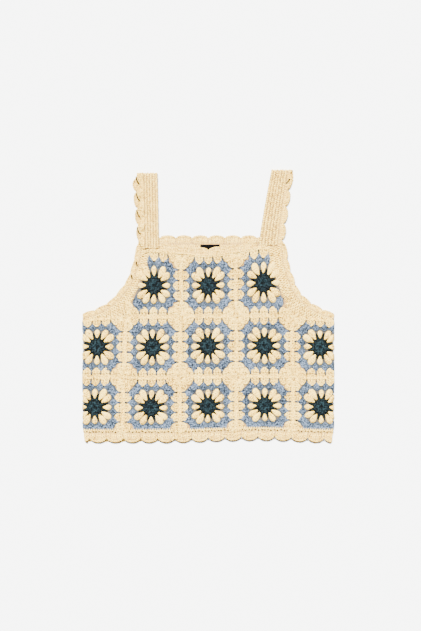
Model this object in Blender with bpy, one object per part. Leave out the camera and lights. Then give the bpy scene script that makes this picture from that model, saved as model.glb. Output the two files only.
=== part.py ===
"""Crochet crop tank laid flat: granny squares joined into a tube, rows out to the
armholes, two straps folded at the shoulder, shell edgings and a plain neck label.

Cloth coordinates are used for every piece: "across" runs round the garment from the
front's centre line, "up" runs from hem to shoulder, and "out" is the distance from the
middle of the cloth towards the outside of the garment. A place function lays them flat.
All sizes are millimetres until a mesh is made.
"""

import math
from bisect import bisect_right
from collections import namedtuple

import bmesh
import bpy

MM = 0.001

# --- Cloth -------------------------------------------------------------------------
BODY_WIDTH = 450.0        # laid flat, from side fold to side fold
SQUARES_ROUND = 9         # granny squares round the tube
CLOTH = 2.8               # thickness of the crochet
BAND_CLOTH = 2.0          # thinner rows under the neck label
LAYER_GAP = 0.3           # air between the front and the back layer
SEAM_GAP = 0.3            # between neighbouring pieces
FOLD_STEPS = 4            # straight facets round a fold

HALF_CLOTH = CLOTH / 2
HALF_GAP = SEAM_GAP / 2
FOLD_RADIUS = (CLOTH + LAYER_GAP) / 2
BACK_MIDDLE = HALF_CLOTH
FOLD_MIDDLE = BACK_MIDDLE + FOLD_RADIUS
FRONT_MIDDLE = FOLD_MIDDLE + FOLD_RADIUS
FOLD_START = BODY_WIDTH / 2 - FOLD_RADIUS - HALF_CLOTH
FOLD_LENGTH = math.pi * FOLD_RADIUS
SIDE_LINE = FOLD_START + FOLD_LENGTH / 2
TUBE = 4 * SIDE_LINE
PITCH = TUBE / SQUARES_ROUND
RELIEF_FADE = 6.0         # the stitches' relief dies out this far before a side fold
CUT_SLACK = 1e-4          # points this near to a cut lie on it

# --- Rows of squares, heights from the middle of the garment's length -------------------
Row = namedtuple("Row", "bottom centre top")
ROWS = {
    "low": Row(-224.1, -179.5, -125.0),
    "mid": Row(-125.0, -71.0, -17.0),
    "top": Row(-17.0, 37.2, 91.3),
}
HEM_SQUEEZE = 0.2         # how closely the outer rounds crowd at the hem side of a square
SIDE_DIP = 8.5            # the side squares' upper edge sinks this much at the side fold
FRONT_SEAM = 102.0        # height of the seam between the front and its straps
BACK_SEAM = 111.0         # height of the seam between the back and its straps
NECK_HALF = 87.0          # half the length of a neckline between the straps
NECK_CURVE = 95.0         # distance out at which the front neckline reaches its seam height
CUT_TOP = 105.9           # distance out at which an armhole cuts the top row's upper edge
RIGHT_LIFT = 5.5          # the right shoulder is pulled up by this much
LIFT_RISE = (-17.0, 43.0) # heights over which that lift comes in
SWAY = 4.0                # the hem rides up this much at its highest place
SWAY_CENTRE = 93.0        # that place's distance to the right
SWAY_LEFT = 170.0         # how far to the left the sway reaches
SWAY_RIGHT = 125.0        # and how far to the right
SWAY_FALL = (-155.0, -224.0)  # heights over which the sway comes in
PINCH = 0.018             # share by which the hem draws in at its corners
PINCH_FALL = (-205.0, -245.0)

# --- Granny square: rounds from the centre out, half sizes for a square of 100 ------------
NOMINAL_HALF = 50.0
SIDE_STEPS = (-1.0, -0.46, -0.23, 0.0, 0.23, 0.46)
MOTIF_POINTS = 4 * len(SIDE_STEPS)
DIMPLE_RISE = 0.4
Ring = namedtuple("Ring", "name half squareness petal_rise gap_rise corner_rise")
MOTIF_RINGS = (
    Ring("disc crest", 8.5, 0.0, 1.2, 1.2, 1.2),
    Ring("disc rim", 15.4, 0.0, 0.5, 0.5, 0.5),
    Ring("petal root", 18.5, 0.0, 1.1, 0.0, 0.0),
    Ring("petal middle", 24.5, 0.2, 1.9, 0.1, 0.1),
    Ring("petal end", 30.5, 0.6, 1.0, 0.2, 0.2),
    Ring("cluster crest", 35.5, 1.0, 0.4, 1.2, 1.2),
    Ring("cluster rim", 40.0, 1.0, 0.3, 0.6, 0.6),
    Ring("border crest", 45.0, 1.0, 1.3, 0.7, 1.3),
    Ring("seam", NOMINAL_HALF, 1.0, 0.6, 0.6, 0.6),
)

# --- Armhole: its lowest row, from the back seam down to the side fold --------------------
Armhole = namedtuple("Armhole", "up left right")
ARMHOLE = (
    Armhole(BACK_SEAM, 118.5, 129.5),
    Armhole(FRONT_SEAM, 119.5, 130.0),
    Armhole(86.0, 121.8, 131.5),
    Armhole(62.0, 128.5, 136.0),
    Armhole(42.0, 136.5, 143.0),
    Armhole(21.0, 151.5, 152.0),
    Armhole(1.0, 170.7, 172.5),
    Armhole(-14.5, 198.5, 201.0),
    Armhole(-21.5, FOLD_START, FOLD_START),
)
CURVE_STEPS = 16          # samples between two of those rows
TANGENT_REACH = 1.0       # the armhole's direction is taken over this length each way
END_TURN = 30.0           # over this stretch at each end the shells turn square to the seam
FRONT_CORNER_UP = 10.0    # armhole height opposite the corner of the front's cut square
BACK_CORNER_UP = 22.0     # and opposite the corner of the back's top square
GUSSET_STEPS = 11
CUT_STEPS = 4             # slices through the upper half of a cut square, for its curved edge
GUSSET_ROWS = (0.3, 0.9, 0.3, 0.9, 0.3)
PLAIN_ROWS = (0.0, 0.0)

# --- Shell edgings ---------------------------------------------------------------------
SHELL_STEPS = 6
PHASE_SLACK = 0.25 / SHELL_STEPS  # a section this near to a fixed one is left out
Edging = namedtuple("Edging", "shells valley tip")
HEM_EDGING = Edging(15, 11.9, 18.4)
HEM_PHASE = 0.5           # a valley, not a tip, lies on the front's centre line
FRONT_NECK_EDGING = Edging(6, 7.6, 15.0)
BACK_NECK_EDGING = Edging(6, 9.2, 15.6)
ARMHOLE_EDGING = Edging(7, 6.6, 9.8)
STRAP_SHELL = 29.8
STRAP_EDGING = Edging(0, 3.2, 10.7)
SHELL_PROFILE = ((0.0, 0.0), (0.35, 0.4), (0.78, 0.6), (1.0, -0.9))
PLAIN_PROFILE = ((0.0, 0.0), (1.0, 0.0))

# --- Straps ----------------------------------------------------------------------------
STRAP_WIDTH = 29.0
STRAP_RIBS = 7
RIB_RISE = 0.6            # how far the ribs stand out of the strap
SHOULDER = 238.4          # height of the left strap's fold
STRAP_FRONT_STEPS = 8
STRAP_BACK_STEPS = 6
LEAN_BEND = 1.2           # how much more a strap leans at its top than at its foot
PEEK_RISE = 18.0          # the back half slides out over this length below the shoulder
PEEK_STEPS = 6
PEEK_SPAN = 115.0         # and is back in line at this length
Strap = namedtuple("Strap", "side base_centre lean flare peek lift first_shell")
STRAPS = {
    "left": Strap(-1, 102.3, 2.7, 0.0, 6.5, 0.0, -3.4),
    "right": Strap(1, 106.4, 20.0, 5.0, 2.5, RIGHT_LIFT, 10.4),
}

# --- Neck label ------------------------------------------------------------------------
LABEL_WIDTH = 35.0
LABEL_HEIGHT = 13.5
LABEL_THICKNESS = 0.5
LABEL_CENTRE = 3.1
LABEL_TOP = BACK_SEAM - 0.7

# --- Colours: linear red, green, blue -----------------------------------------------------
COTTON_CREAM = ("cotton_cream", (0.93, 0.76, 0.54), 0.9)
LABEL_BLACK = ("label_black", (0.012, 0.012, 0.016), 0.6)
SMOOTH_ANGLE = math.radians(35)


def clamp(value):
    """Limit a value to 0..1."""
    return max(0.0, min(1.0, value))


def smooth(value):
    """Ease a value between 0 and 1."""
    value = clamp(value)
    return value * value * (3 - 2 * value)


def span_share(value, span):
    """How far a value lies through a span, eased."""
    return smooth((value - span[0]) / (span[1] - span[0]))


def between(first, second, share):
    """The point at a share of the way from first to second."""
    return tuple(a + (b - a) * share for a, b in zip(first, second))


# --- Laying the cloth flat -----------------------------------------------------------------
def turn_fold(past, out):
    """Reach and height of a point a length past the start of a fold, from the fold's axis."""
    angle = past / FOLD_RADIUS
    reach = (FOLD_RADIUS + out) * math.sin(angle)
    return reach, FOLD_MIDDLE + (FOLD_RADIUS + out) * math.cos(angle)


def front_lift(across, up):
    """How much the front's right shoulder is pulled up at a point."""
    return RIGHT_LIFT * clamp(across / PITCH) * span_share(up, LIFT_RISE)


def lay_unevenly(across, up):
    """Let the hem ride up and draw in at its corners, as soft cloth does when laid down."""
    reach = SWAY_RIGHT if across > SWAY_CENTRE else SWAY_LEFT
    bump = clamp(1 - ((across - SWAY_CENTRE) / reach) ** 2) ** 2
    pinch = PINCH * span_share(up, PINCH_FALL)
    return across * (1 - pinch), up + SWAY * bump * span_share(up, SWAY_FALL)


def lay_body(across, up, out):
    """Lay a point of the tube flat, folded at both sides."""
    across = (across + TUBE / 2) % TUBE - TUBE / 2
    side = math.copysign(1.0, across)
    past = abs(across) - FOLD_START
    if past <= 0:
        x, height = across, FRONT_MIDDLE + out
        up += front_lift(across, up)
    elif past < FOLD_LENGTH:
        reach, height = turn_fold(past, out)
        x = side * (FOLD_START + reach)
    else:
        x, height = side * (2 * SIDE_LINE - abs(across)), BACK_MIDDLE - out
    return *lay_unevenly(x, up), height


def strap_lengths(strap):
    """Start height, fold height, front length and back length of a strap."""
    start = FRONT_SEAM + strap.lift + HALF_GAP
    turn = SHOULDER + strap.lift - FOLD_RADIUS - HALF_CLOTH
    return start, turn, turn - start, turn - BACK_SEAM - HALF_GAP


def lay_strap(strap):
    """The place function of a strap: across its width, along its length, out."""
    start, turn, front_length, _ = strap_lengths(strap)

    def place(across, along, out):
        past = along - front_length
        drift = 0.0
        if past <= 0:
            up, height = start + along, FRONT_MIDDLE + out
        elif past < FOLD_LENGTH:
            reach, height = turn_fold(past, out)
            up = turn + reach
        else:
            down = past - FOLD_LENGTH
            up, height = turn - down, BACK_MIDDLE - out
            drift = strap.peek * smooth(down / PEEK_RISE) * clamp(1 - down / PEEK_SPAN)
        rise = clamp((up - start) / (turn - start))
        widen = 1 + strap.flare / STRAP_WIDTH * (1 - rise)
        centre = strap.base_centre + strap.lean * rise ** LEAN_BEND + drift
        return strap.side * (centre + across * widen), up, height

    return place


# --- Making meshes ---------------------------------------------------------------------
def cotton(name, colour, roughness):
    """The material of a name, made once."""
    material = bpy.data.materials.get(name)
    if material is None:
        material = bpy.data.materials.new(name)
        material.use_nodes = True
        shader = material.node_tree.nodes["Principled BSDF"]
        shader.inputs["Base Color"].default_value = (*colour, 1.0)
        shader.inputs["Roughness"].default_value = roughness
        shader.inputs["Metallic"].default_value = 0.0
    return material


def finish(name, body, place, finish_of=COTTON_CREAM):
    """Lay a closed body flat and make it an object."""
    bmesh.ops.triangulate(body, faces=body.faces[:])
    for vert in body.verts:
        vert.co = [size * MM for size in place(*vert.co)]
    bmesh.ops.recalc_face_normals(body, faces=body.faces[:])
    if body.calc_volume(signed=True) < 0:
        bmesh.ops.reverse_faces(body, faces=body.faces[:])
    mesh = bpy.data.meshes.new(name)
    body.to_mesh(mesh)
    body.free()
    mesh.shade_smooth()
    mesh.set_sharp_from_angle(angle=SMOOTH_ANGLE)
    mesh.materials.append(cotton(*finish_of))
    piece = bpy.data.objects.new(name, mesh)
    bpy.context.collection.objects.link(piece)
    return piece


def bridge(body, first, second):
    """Join two rings of vertices with quads."""
    count = len(first)
    for i in range(count):
        j = (i + 1) % count
        body.faces.new((first[i], first[j], second[j], second[i]))


def ribbon(sections):
    """A closed body through cross-sections that each have the same number of points."""
    body = bmesh.new()
    rings = [[body.verts.new(point) for point in section] for section in sections]
    for first, second in zip(rings, rings[1:]):
        bridge(body, first, second)
    body.faces.new(rings[0])
    body.faces.new(rings[-1])
    return body


def plate(outline, low, high):
    """A flat closed body over an outline, between two distances out."""
    body = bmesh.new()
    under = [body.verts.new((across, up, low)) for across, up in outline]
    over = [body.verts.new((across, up, high)) for across, up in outline]
    bridge(body, under, over)
    body.faces.new(under)
    body.faces.new(over)
    return body


def relief_share(across):
    """1 on the front, fading to 0 at the side fold, so the underside lies flat."""
    return clamp((SIDE_LINE - abs(across)) / (SIDE_LINE - FOLD_START + RELIEF_FADE))


def fold_stations():
    """Distances across at which a side fold's facets meet."""
    return [FOLD_START + FOLD_LENGTH * i / FOLD_STEPS for i in range(FOLD_STEPS + 1)]


# --- Granny squares ----------------------------------------------------------------------
def neckline(across):
    """Height of the front's upper edge."""
    low = ROWS["top"].top
    return low + (FRONT_SEAM - low) * clamp(abs(across) / NECK_CURVE) ** 2


def side_top(across):
    """Height of the middle row's upper edge, which sinks towards the side folds."""
    inner = 1.5 * PITCH
    share = clamp((abs(across) - inner) / (FOLD_START - inner))
    mirrored = clamp((2 * SIDE_LINE - inner - abs(across)) / (FOLD_START - inner))
    return ROWS["mid"].top - SIDE_DIP * min(share, mirrored)


def settle(row_name, across, up):
    """Shift a point of a square so that its row's upper edge follows the real one."""
    row = ROWS[row_name]
    share = clamp((up - row.centre) / (row.top - row.centre)) ** 2
    if row_name == "top":
        return up + (neckline(across) - row.top) * share
    if row_name == "mid":
        return up + (side_top(across) - row.top) * share
    return up


def motif_point(ring, index):
    """Where a ring's point lies, with half size 1 at the seam, and which rise it takes."""
    side, step = divmod(index, len(SIDE_STEPS))
    angle = math.radians(360.0 * index / MOTIF_POINTS - 45.0)
    turn = side * math.pi / 2
    edge = SIDE_STEPS[step]
    square = (
        math.cos(turn) - edge * math.sin(turn),
        math.sin(turn) + edge * math.cos(turn),
    )
    circle = (math.cos(angle), math.sin(angle))
    scale = ring.half / NOMINAL_HALF
    spot = between(circle, square, ring.squareness)
    rise = ring.petal_rise if step % 2 else ring.gap_rise
    if step == 0:
        rise = ring.corner_rise
    return spot[0] * scale, spot[1] * scale, rise


def square_spot(column, row_name):
    """The function that takes a point of a square, 1 at its seam, to its row and column."""
    row = ROWS[row_name]
    half = PITCH / 2 - HALF_GAP
    above = row.top - row.centre - HALF_GAP
    below = row.centre - row.bottom - HALF_GAP

    def spot(x, y, rise):
        up = y * above
        if y < 0:
            up = max(up, -below * (1 - (1 - abs(y)) * HEM_SQUEEZE))
        return column * PITCH + x * half, row.centre + up, HALF_CLOTH + rise

    return spot


def motif(column, row_name):
    """A whole granny square before it is folded or cut, raised round by round."""
    spot = square_spot(column, row_name)
    body = bmesh.new()
    centre = body.verts.new(spot(0.0, 0.0, DIMPLE_RISE))
    rings = []
    for ring in MOTIF_RINGS:
        points = [spot(*motif_point(ring, i)) for i in range(MOTIF_POINTS)]
        rings.append([body.verts.new(point) for point in points])
    for i, vert in enumerate(rings[0]):
        body.faces.new((centre, vert, rings[0][(i + 1) % MOTIF_POINTS]))
    for first, second in zip(rings, rings[1:]):
        bridge(body, first, second)
    under = [body.verts.new((*vert.co[:2], -HALF_CLOTH)) for vert in rings[-1]]
    bridge(body, rings[-1], under)
    body.faces.new(under)
    return body


def slice_body(body, point, normal, drop_far=False):
    """Cut a body with a plane, and close it again where its far side is dropped."""
    geometry = body.verts[:] + body.edges[:] + body.faces[:]
    bmesh.ops.bisect_plane(body, geom=geometry, plane_co=point, plane_no=normal,
                           dist=CUT_SLACK, clear_outer=drop_far)
    if drop_far:
        edges = [edge for edge in body.edges if edge.is_boundary]
        bmesh.ops.holes_fill(body, edges=edges)


def settle_body(body, row_name):
    """Fit a square to its row's real edge and fade its relief at the side fold."""
    for vert in body.verts:
        across, up, out = vert.co
        if out > HALF_CLOTH:
            out = HALF_CLOTH + (out - HALF_CLOTH) * relief_share(across)
        vert.co = (across, settle(row_name, across, up), out)


def front_square(name, column, row_name):
    """A whole square on the front."""
    body = motif(column, row_name)
    settle_body(body, row_name)
    finish(name, body, lay_body)


def side_square(name, side, row_name):
    """A square that wraps round a side fold."""
    body = motif(2 * side, row_name)
    for across in [FOLD_START - RELIEF_FADE] + fold_stations():
        slice_body(body, (side * across, 0, 0), (1, 0, 0))
    settle_body(body, row_name)
    finish(name, body, lay_body)


def cut_line(offset):
    """The armhole's cut through a top square, moved out by an offset: lower, upper end."""
    low, high = (1.5 * PITCH, ROWS["top"].bottom), (CUT_TOP, ROWS["top"].top)
    across, up = high[1] - low[1], low[0] - high[0]
    share = offset / math.hypot(across, up)
    return tuple((end[0] + across * share, end[1] + up * share) for end in (low, high))


def cut_square(name, side):
    """A top square with its outer side cut away by the armhole."""
    body = motif(side, "top")
    low, high = cut_line(-HALF_GAP)
    normal = (side * (high[1] - low[1]), low[0] - high[0], 0)
    slice_body(body, (side * low[0], low[1], 0), normal, True)
    row = ROWS["top"]
    for step in range(CUT_STEPS):
        up = row.centre + (row.top - row.centre) * step / CUT_STEPS
        slice_body(body, (0, up, 0), (0, 1, 0))
    settle_body(body, "top")
    finish(name, body, lay_body)


def back_square(name, column, row_name):
    """A plain square of the back, whose outer face lies flat under the garment."""
    spot = square_spot(column, row_name)
    outline = []
    for i in range(MOTIF_POINTS):
        across, up, _ = spot(*motif_point(MOTIF_RINGS[-1], i))
        if row_name == "mid":
            up = settle(row_name, across, up)
        outline.append((across, up))
    finish(name, plate(outline, -HALF_CLOTH, HALF_CLOTH), lay_body)


# --- Armholes ------------------------------------------------------------------------------
class ArmholePath:
    """An armhole's lowest row from the back seam to the side fold, as if on the right."""

    def __init__(self, side):
        rows = [(row.right if side > 0 else row.left, row.up) for row in ARMHOLE]
        keys = [rows[0], *rows, rows[-1]]
        self.side = side
        self.points = []
        for before, first, second, after in zip(keys, keys[1:], keys[2:], keys[3:]):
            for step in range(CURVE_STEPS):
                self.points.append(self.blend(before, first, second, after, step / CURVE_STEPS))
        self.points.append(rows[-1])
        self.lengths = [0.0]
        for first, second in zip(self.points, self.points[1:]):
            self.lengths.append(self.lengths[-1] + math.dist(first, second))
        self.length = self.lengths[-1]

    @staticmethod
    def blend(before, first, second, after, share):
        """A point between two rows on a smooth curve through four."""
        return tuple(
            0.5 * (2 * b + (c - a) * share + (2 * a - 5 * b + 4 * c - d) * share ** 2
                   + (3 * b - a - 3 * c + d) * share ** 3)
            for a, b, c, d in zip(before, first, second, after)
        )

    def point(self, distance):
        """The point at a distance along the armhole; past its end, on the side fold."""
        if distance >= self.length:
            return self.points[-1][0] + distance - self.length, self.points[-1][1]
        index = min(bisect_right(self.lengths, distance), len(self.points) - 1)
        start = self.lengths[index - 1]
        share = (distance - start) / (self.lengths[index] - start)
        return between(self.points[index - 1], self.points[index], share)

    def normal(self, distance, start):
        """The direction out of the cloth: level at the strap seam, straight up at the fold."""
        first = self.point(max(0.0, distance - TANGENT_REACH))
        second = self.point(distance + TANGENT_REACH)
        across = (first[1] - second[1]) * smooth((self.length - distance) / END_TURN)
        up = (second[0] - first[0]) * smooth((distance - start) / END_TURN)
        size = math.hypot(across, up)
        return across / size, up / size

    def distance_at(self, up):
        """The distance along the armhole at which it passes a height."""
        for i, point in enumerate(self.points[1:], 1):
            if point[1] <= up:
                before = self.points[i - 1]
                share = (before[1] - up) / (before[1] - point[1])
                return self.lengths[i - 1] + share * (self.lengths[i] - self.lengths[i - 1])
        return self.length


def quarter(side, layer):
    """Take a right front point to its place on the left or on the back."""
    def turned(across):
        return side * (across if layer == "front" else 2 * SIDE_LINE - across)
    return turned


def half_fold_stations():
    """Distances across from a fold's start to the side line, where front meets back."""
    inside = [across for across in fold_stations() if across < SIDE_LINE - SEAM_GAP]
    return inside + [SIDE_LINE - HALF_GAP]


def gusset_inner(layer):
    """The inner edge of the rows out to an armhole: along the top square, then its tail."""
    if layer == "front":
        low, high = cut_line(HALF_GAP)
    else:
        low = (PITCH + HALF_GAP, ROWS["top"].bottom)
        high = (PITCH + HALF_GAP, ROWS["top"].top)
    shares = [i / GUSSET_STEPS for i in range(GUSSET_STEPS + 1)]
    upper = []
    for across, up in (between(high, low, share) for share in shares):
        if layer == "front":
            up = min(settle("top", across, up), FRONT_SEAM - HALF_GAP)
        upper.append((across, max(up, low[1] + HALF_GAP)))
    kinks = [PITCH * 1.5] * (low[0] < PITCH * 1.5)
    free = [low[0] + (FOLD_START - low[0]) * share for share in shares[1:-1]]
    tail = sorted(kinks + free)
    return upper, [(across, side_top(across) + HALF_GAP) for across in tail]


def gusset_pairs(path, layer):
    """Inner and outer points of the rows between the squares and an armhole."""
    upper, tail = gusset_inner(layer)
    if layer == "front":
        top, opposite = FRONT_SEAM, FRONT_CORNER_UP
    else:
        top, opposite = ROWS["top"].top, BACK_CORNER_UP
    start = path.distance_at(top - HALF_GAP)
    corner = path.distance_at(opposite)
    pairs = []
    for i, inner in enumerate(upper):
        pairs.append((inner, path.point(start + (corner - start) * i / GUSSET_STEPS)))
    for i, inner in enumerate(tail, 1):
        share = i / (len(tail) + 1)
        pairs.append((inner, path.point(corner + (path.length - corner) * share)))
    for across in half_fold_stations():
        pairs.append(((across, side_top(across) + HALF_GAP), (across, ARMHOLE[-1].up)))
    return pairs


def gusset(name, path, layer):
    """The rows between the squares and an armhole."""
    turned = quarter(path.side, layer)
    rows = GUSSET_ROWS if layer == "front" else PLAIN_ROWS
    sections = []
    for inner, outer in gusset_pairs(path, layer):
        section = [(turned(inner[0]), inner[1], -HALF_CLOTH),
                   (turned(outer[0]), outer[1], -HALF_CLOTH)]
        for i, rise in enumerate(rows):
            across, up = between(outer, inner, i / (len(rows) - 1))
            out = HALF_CLOTH + rise * relief_share(across)
            section.append((turned(across), up, out))
        sections.append(section)
    finish(name, ribbon(sections), lay_body)


# --- Shell edgings ---------------------------------------------------------------------
def shell_reach(edging, phase):
    """How far an edging reaches at a phase counted in shells."""
    bow = 2 * (phase % 1.0) - 1
    return edging.valley + (edging.tip - edging.valley) * math.sqrt(1 - bow * bow)


def shell_phases(first, last, extra=()):
    """Phases between two limits at every step of every shell, with extra ones."""
    steps = range(math.floor(first * SHELL_STEPS), math.ceil(last * SHELL_STEPS) + 1)
    phases = [step / SHELL_STEPS for step in steps]
    fixed = [first, *extra, last]
    inside = [phase for phase in phases if first < phase < last]
    free = [phase for phase in inside if all(abs(phase - q) > PHASE_SLACK for q in fixed)]
    return sorted(free + fixed)


def shell_section(base, normal, reach, profile, share=1.0):
    """An edging's cross-section: two points below, then the profile above, inwards."""
    def at(part, out):
        return (base[0] + normal[0] * reach * part, base[1] + normal[1] * reach * part, out)
    section = [at(0.0, -HALF_CLOTH), at(1.0, -HALF_CLOTH)]
    for part, rise in reversed(profile):
        section.append(at(part, HALF_CLOTH + rise * share))
    return section


def hem_edging(name, layer):
    """The shells along half of the hem, from side line to side line."""
    pitch = 2 * SIDE_LINE / HEM_EDGING.shells
    middle = 0.0 if layer == "front" else 2 * SIDE_LINE
    profile = SHELL_PROFILE if layer == "front" else PLAIN_PROFILE
    folds = [SIDE_LINE - across for across in half_fold_stations()[:-1]]
    end = HEM_EDGING.shells - HALF_GAP / pitch
    extra = [fold / pitch for fold in folds] + [HEM_EDGING.shells - fold / pitch for fold in folds]
    sections = []
    for phase in shell_phases(HALF_GAP / pitch, end, extra):
        across = middle - SIDE_LINE + phase * pitch
        reach = shell_reach(HEM_EDGING, phase + HEM_PHASE)
        share = relief_share(across) if layer == "front" else 0.0
        base = (across, ROWS["low"].bottom - HALF_GAP)
        sections.append(shell_section(base, (0, -1), reach, profile, share))
    finish(name, ribbon(sections), lay_body)


def neck_edging(name, layer):
    """The shells along a neckline between the straps."""
    if layer == "front":
        edging, profile, middle = FRONT_NECK_EDGING, SHELL_PROFILE, 0.0
    else:
        edging, profile, middle = BACK_NECK_EDGING, PLAIN_PROFILE, 2 * SIDE_LINE
    pitch = 2 * NECK_HALF / edging.shells
    sections = []
    for phase in shell_phases(0.0, edging.shells):
        across = phase * pitch - NECK_HALF
        up = neckline(across) if layer == "front" else BACK_SEAM
        reach = shell_reach(edging, phase)
        base = (middle + across, up + SEAM_GAP)
        sections.append(shell_section(base, (0, 1), reach, profile))
    finish(name, ribbon(sections), lay_body)


def armhole_edging(name, path, layer):
    """The shells along an armhole from the strap seam to the side line."""
    turned = quarter(path.side, layer)
    profile = SHELL_PROFILE if layer == "front" else PLAIN_PROFILE
    seam = FRONT_SEAM if layer == "front" else BACK_SEAM
    start = path.distance_at(seam - HALF_GAP)
    folds = [path.length + across - FOLD_START for across in half_fold_stations()]
    pitch = (folds[-1] - start) / ARMHOLE_EDGING.shells
    extra = [(fold - start) / pitch for fold in folds[:-1]]
    sections = []
    for phase in shell_phases(0.0, ARMHOLE_EDGING.shells, extra):
        distance = start + phase * pitch
        normal = path.normal(distance, start)
        point = path.point(distance)
        base = (point[0] + normal[0] * SEAM_GAP, point[1] + normal[1] * SEAM_GAP)
        reach = shell_reach(ARMHOLE_EDGING, phase)
        share = relief_share(base[0]) if layer == "front" else 0.0
        section = shell_section(base, normal, reach, profile, share)
        sections.append([(turned(across), up, out) for across, up, out in section])
    finish(name, ribbon(sections), lay_body)


# --- Straps --------------------------------------------------------------------------------
def strap_relief(strap, along):
    """1 on the strap's front, fading to 0 round the shoulder fold."""
    _, _, front_length, _ = strap_lengths(strap)
    return clamp(1 - (along - front_length) / FOLD_LENGTH)


def turn_stations(strap):
    """Lengths along a strap through its shoulder fold and the stretch that slides out."""
    _, _, front, _ = strap_lengths(strap)
    stations = [front + FOLD_LENGTH * i / FOLD_STEPS for i in range(FOLD_STEPS)]
    first = front + FOLD_LENGTH
    return stations + [first + PEEK_RISE * i / PEEK_STEPS for i in range(PEEK_STEPS + 1)]


def strap_stations(strap):
    """Lengths along a strap at which its sections stand, from front seam to back seam."""
    _, _, front, back = strap_lengths(strap)
    stations = [front * i / STRAP_FRONT_STEPS for i in range(STRAP_FRONT_STEPS)]
    stations += turn_stations(strap)
    first = stations[-1]
    rest = front + FOLD_LENGTH + back - first
    steps = range(1, STRAP_BACK_STEPS + 1)
    return stations + [first + rest * i / STRAP_BACK_STEPS for i in steps]


def strap(name, strap_of):
    """A strap with raised ribs along it, folded over the shoulder."""
    half = STRAP_WIDTH / 2
    points = 2 * STRAP_RIBS
    sections = []
    for along in strap_stations(strap_of):
        rise = RIB_RISE * strap_relief(strap_of, along)
        section = [(half, along, -HALF_CLOTH), (-half, along, -HALF_CLOTH)]
        for i in range(points + 1):
            across = STRAP_WIDTH * i / points - half
            section.append((across, along, HALF_CLOTH + rise * (i % 2)))
        sections.append(section)
    finish(name, ribbon(sections), lay_strap(strap_of))


def strap_edging(name, strap_of):
    """The shells along a strap's outer edge, over the shoulder."""
    _, _, front, back = strap_lengths(strap_of)
    length = front + FOLD_LENGTH + back
    base = STRAP_WIDTH / 2 + SEAM_GAP

    def phase_at(along):
        return (along - strap_of.first_shell) / STRAP_SHELL

    turns = [phase_at(along) for along in turn_stations(strap_of)]
    sections = []
    for phase in shell_phases(phase_at(0.0), phase_at(length), turns):
        along = strap_of.first_shell + phase * STRAP_SHELL
        reach = shell_reach(STRAP_EDGING, phase)
        share = strap_relief(strap_of, along)
        sections.append(shell_section((base, along), (1, 0), reach, SHELL_PROFILE, share))
    finish(name, ribbon(sections), lay_strap(strap_of))


# --- Back neck ---------------------------------------------------------------------------
def lay_flat(across, up, height):
    """Leave a point where it is."""
    return across, up, height


def back_band(left, right):
    """Plain rows across the back from the top squares up to the neck, under the label."""
    heights = (ROWS["top"].top + HALF_GAP, FRONT_SEAM, BACK_SEAM - HALF_GAP)
    outline = [(right.point(right.distance_at(up))[0], up) for up in heights]
    outline += [(-left.point(left.distance_at(up))[0], up) for up in reversed(heights)]
    finish("back_band", plate(outline, 0.0, BAND_CLOTH), lay_flat)


def neck_label():
    """A plain woven label lying on the back band."""
    low = BAND_CLOTH + SEAM_GAP
    left = LABEL_CENTRE - LABEL_WIDTH / 2
    right = LABEL_CENTRE + LABEL_WIDTH / 2
    bottom = LABEL_TOP - LABEL_HEIGHT
    outline = [(left, bottom), (right, bottom), (right, LABEL_TOP), (left, LABEL_TOP)]
    finish("neck_label", plate(outline, low, low + LABEL_THICKNESS), lay_flat, LABEL_BLACK)


def main():
    """Make every piece of the garment."""
    for old in list(bpy.data.objects):
        bpy.data.objects.remove(old, do_unlink=True)
    paths = {side: ArmholePath(side) for side in (-1, 1)}
    for row_name in ("low", "mid"):
        for column, place_name in ((-1, "left"), (0, "centre"), (1, "right")):
            front_square(f"square_front_{row_name}_{place_name}", column, row_name)
        for column, place_name in ((-3, "outer_left"), (-4, "inner_left"),
                                   (4, "inner_right"), (3, "outer_right")):
            back_square(f"square_back_{row_name}_{place_name}", column, row_name)
    front_square("square_front_top_centre", 0, "top")
    for side, side_name in ((-1, "left"), (1, "right")):
        cut_square(f"square_front_top_{side_name}", side)
        back_square(f"square_back_top_{side_name}", 4 * side, "top")
        side_square(f"square_side_low_{side_name}", side, "low")
        side_square(f"square_side_mid_{side_name}", side, "mid")
        for layer in ("front", "back"):
            gusset(f"gusset_{layer}_{side_name}", paths[side], layer)
            armhole_edging(f"edging_armhole_{layer}_{side_name}", paths[side], layer)
        strap(f"strap_{side_name}", STRAPS[side_name])
        strap_edging(f"edging_strap_{side_name}", STRAPS[side_name])
    for layer in ("front", "back"):
        hem_edging(f"edging_hem_{layer}", layer)
        neck_edging(f"edging_neck_{layer}", layer)
    back_band(paths[-1], paths[1])
    neck_label()


main()
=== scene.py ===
"""Crochet crop top laid flat: granny squares, armhole rows, folded straps, shell edgings.

Every stitch is yarn. Short tables give the line of each strand of a stitch, Geometry Nodes
spin the strands and set the stitches on their spots in flat cloth coordinates, and a lay
function then folds the cloth as it lies on the floor. A thin cloth shell backs the stitches.

Cloth coordinates, in millimetres: "across" runs round the garment from the front's centre
line, "up" runs from hem to shoulder, and "out" is the distance from the middle of the cloth
towards the outside of the garment.
"""

from __future__ import annotations

import logging
import math
from dataclasses import dataclass
from enum import Enum
from typing import Callable, Iterable, NamedTuple, Sequence

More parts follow.
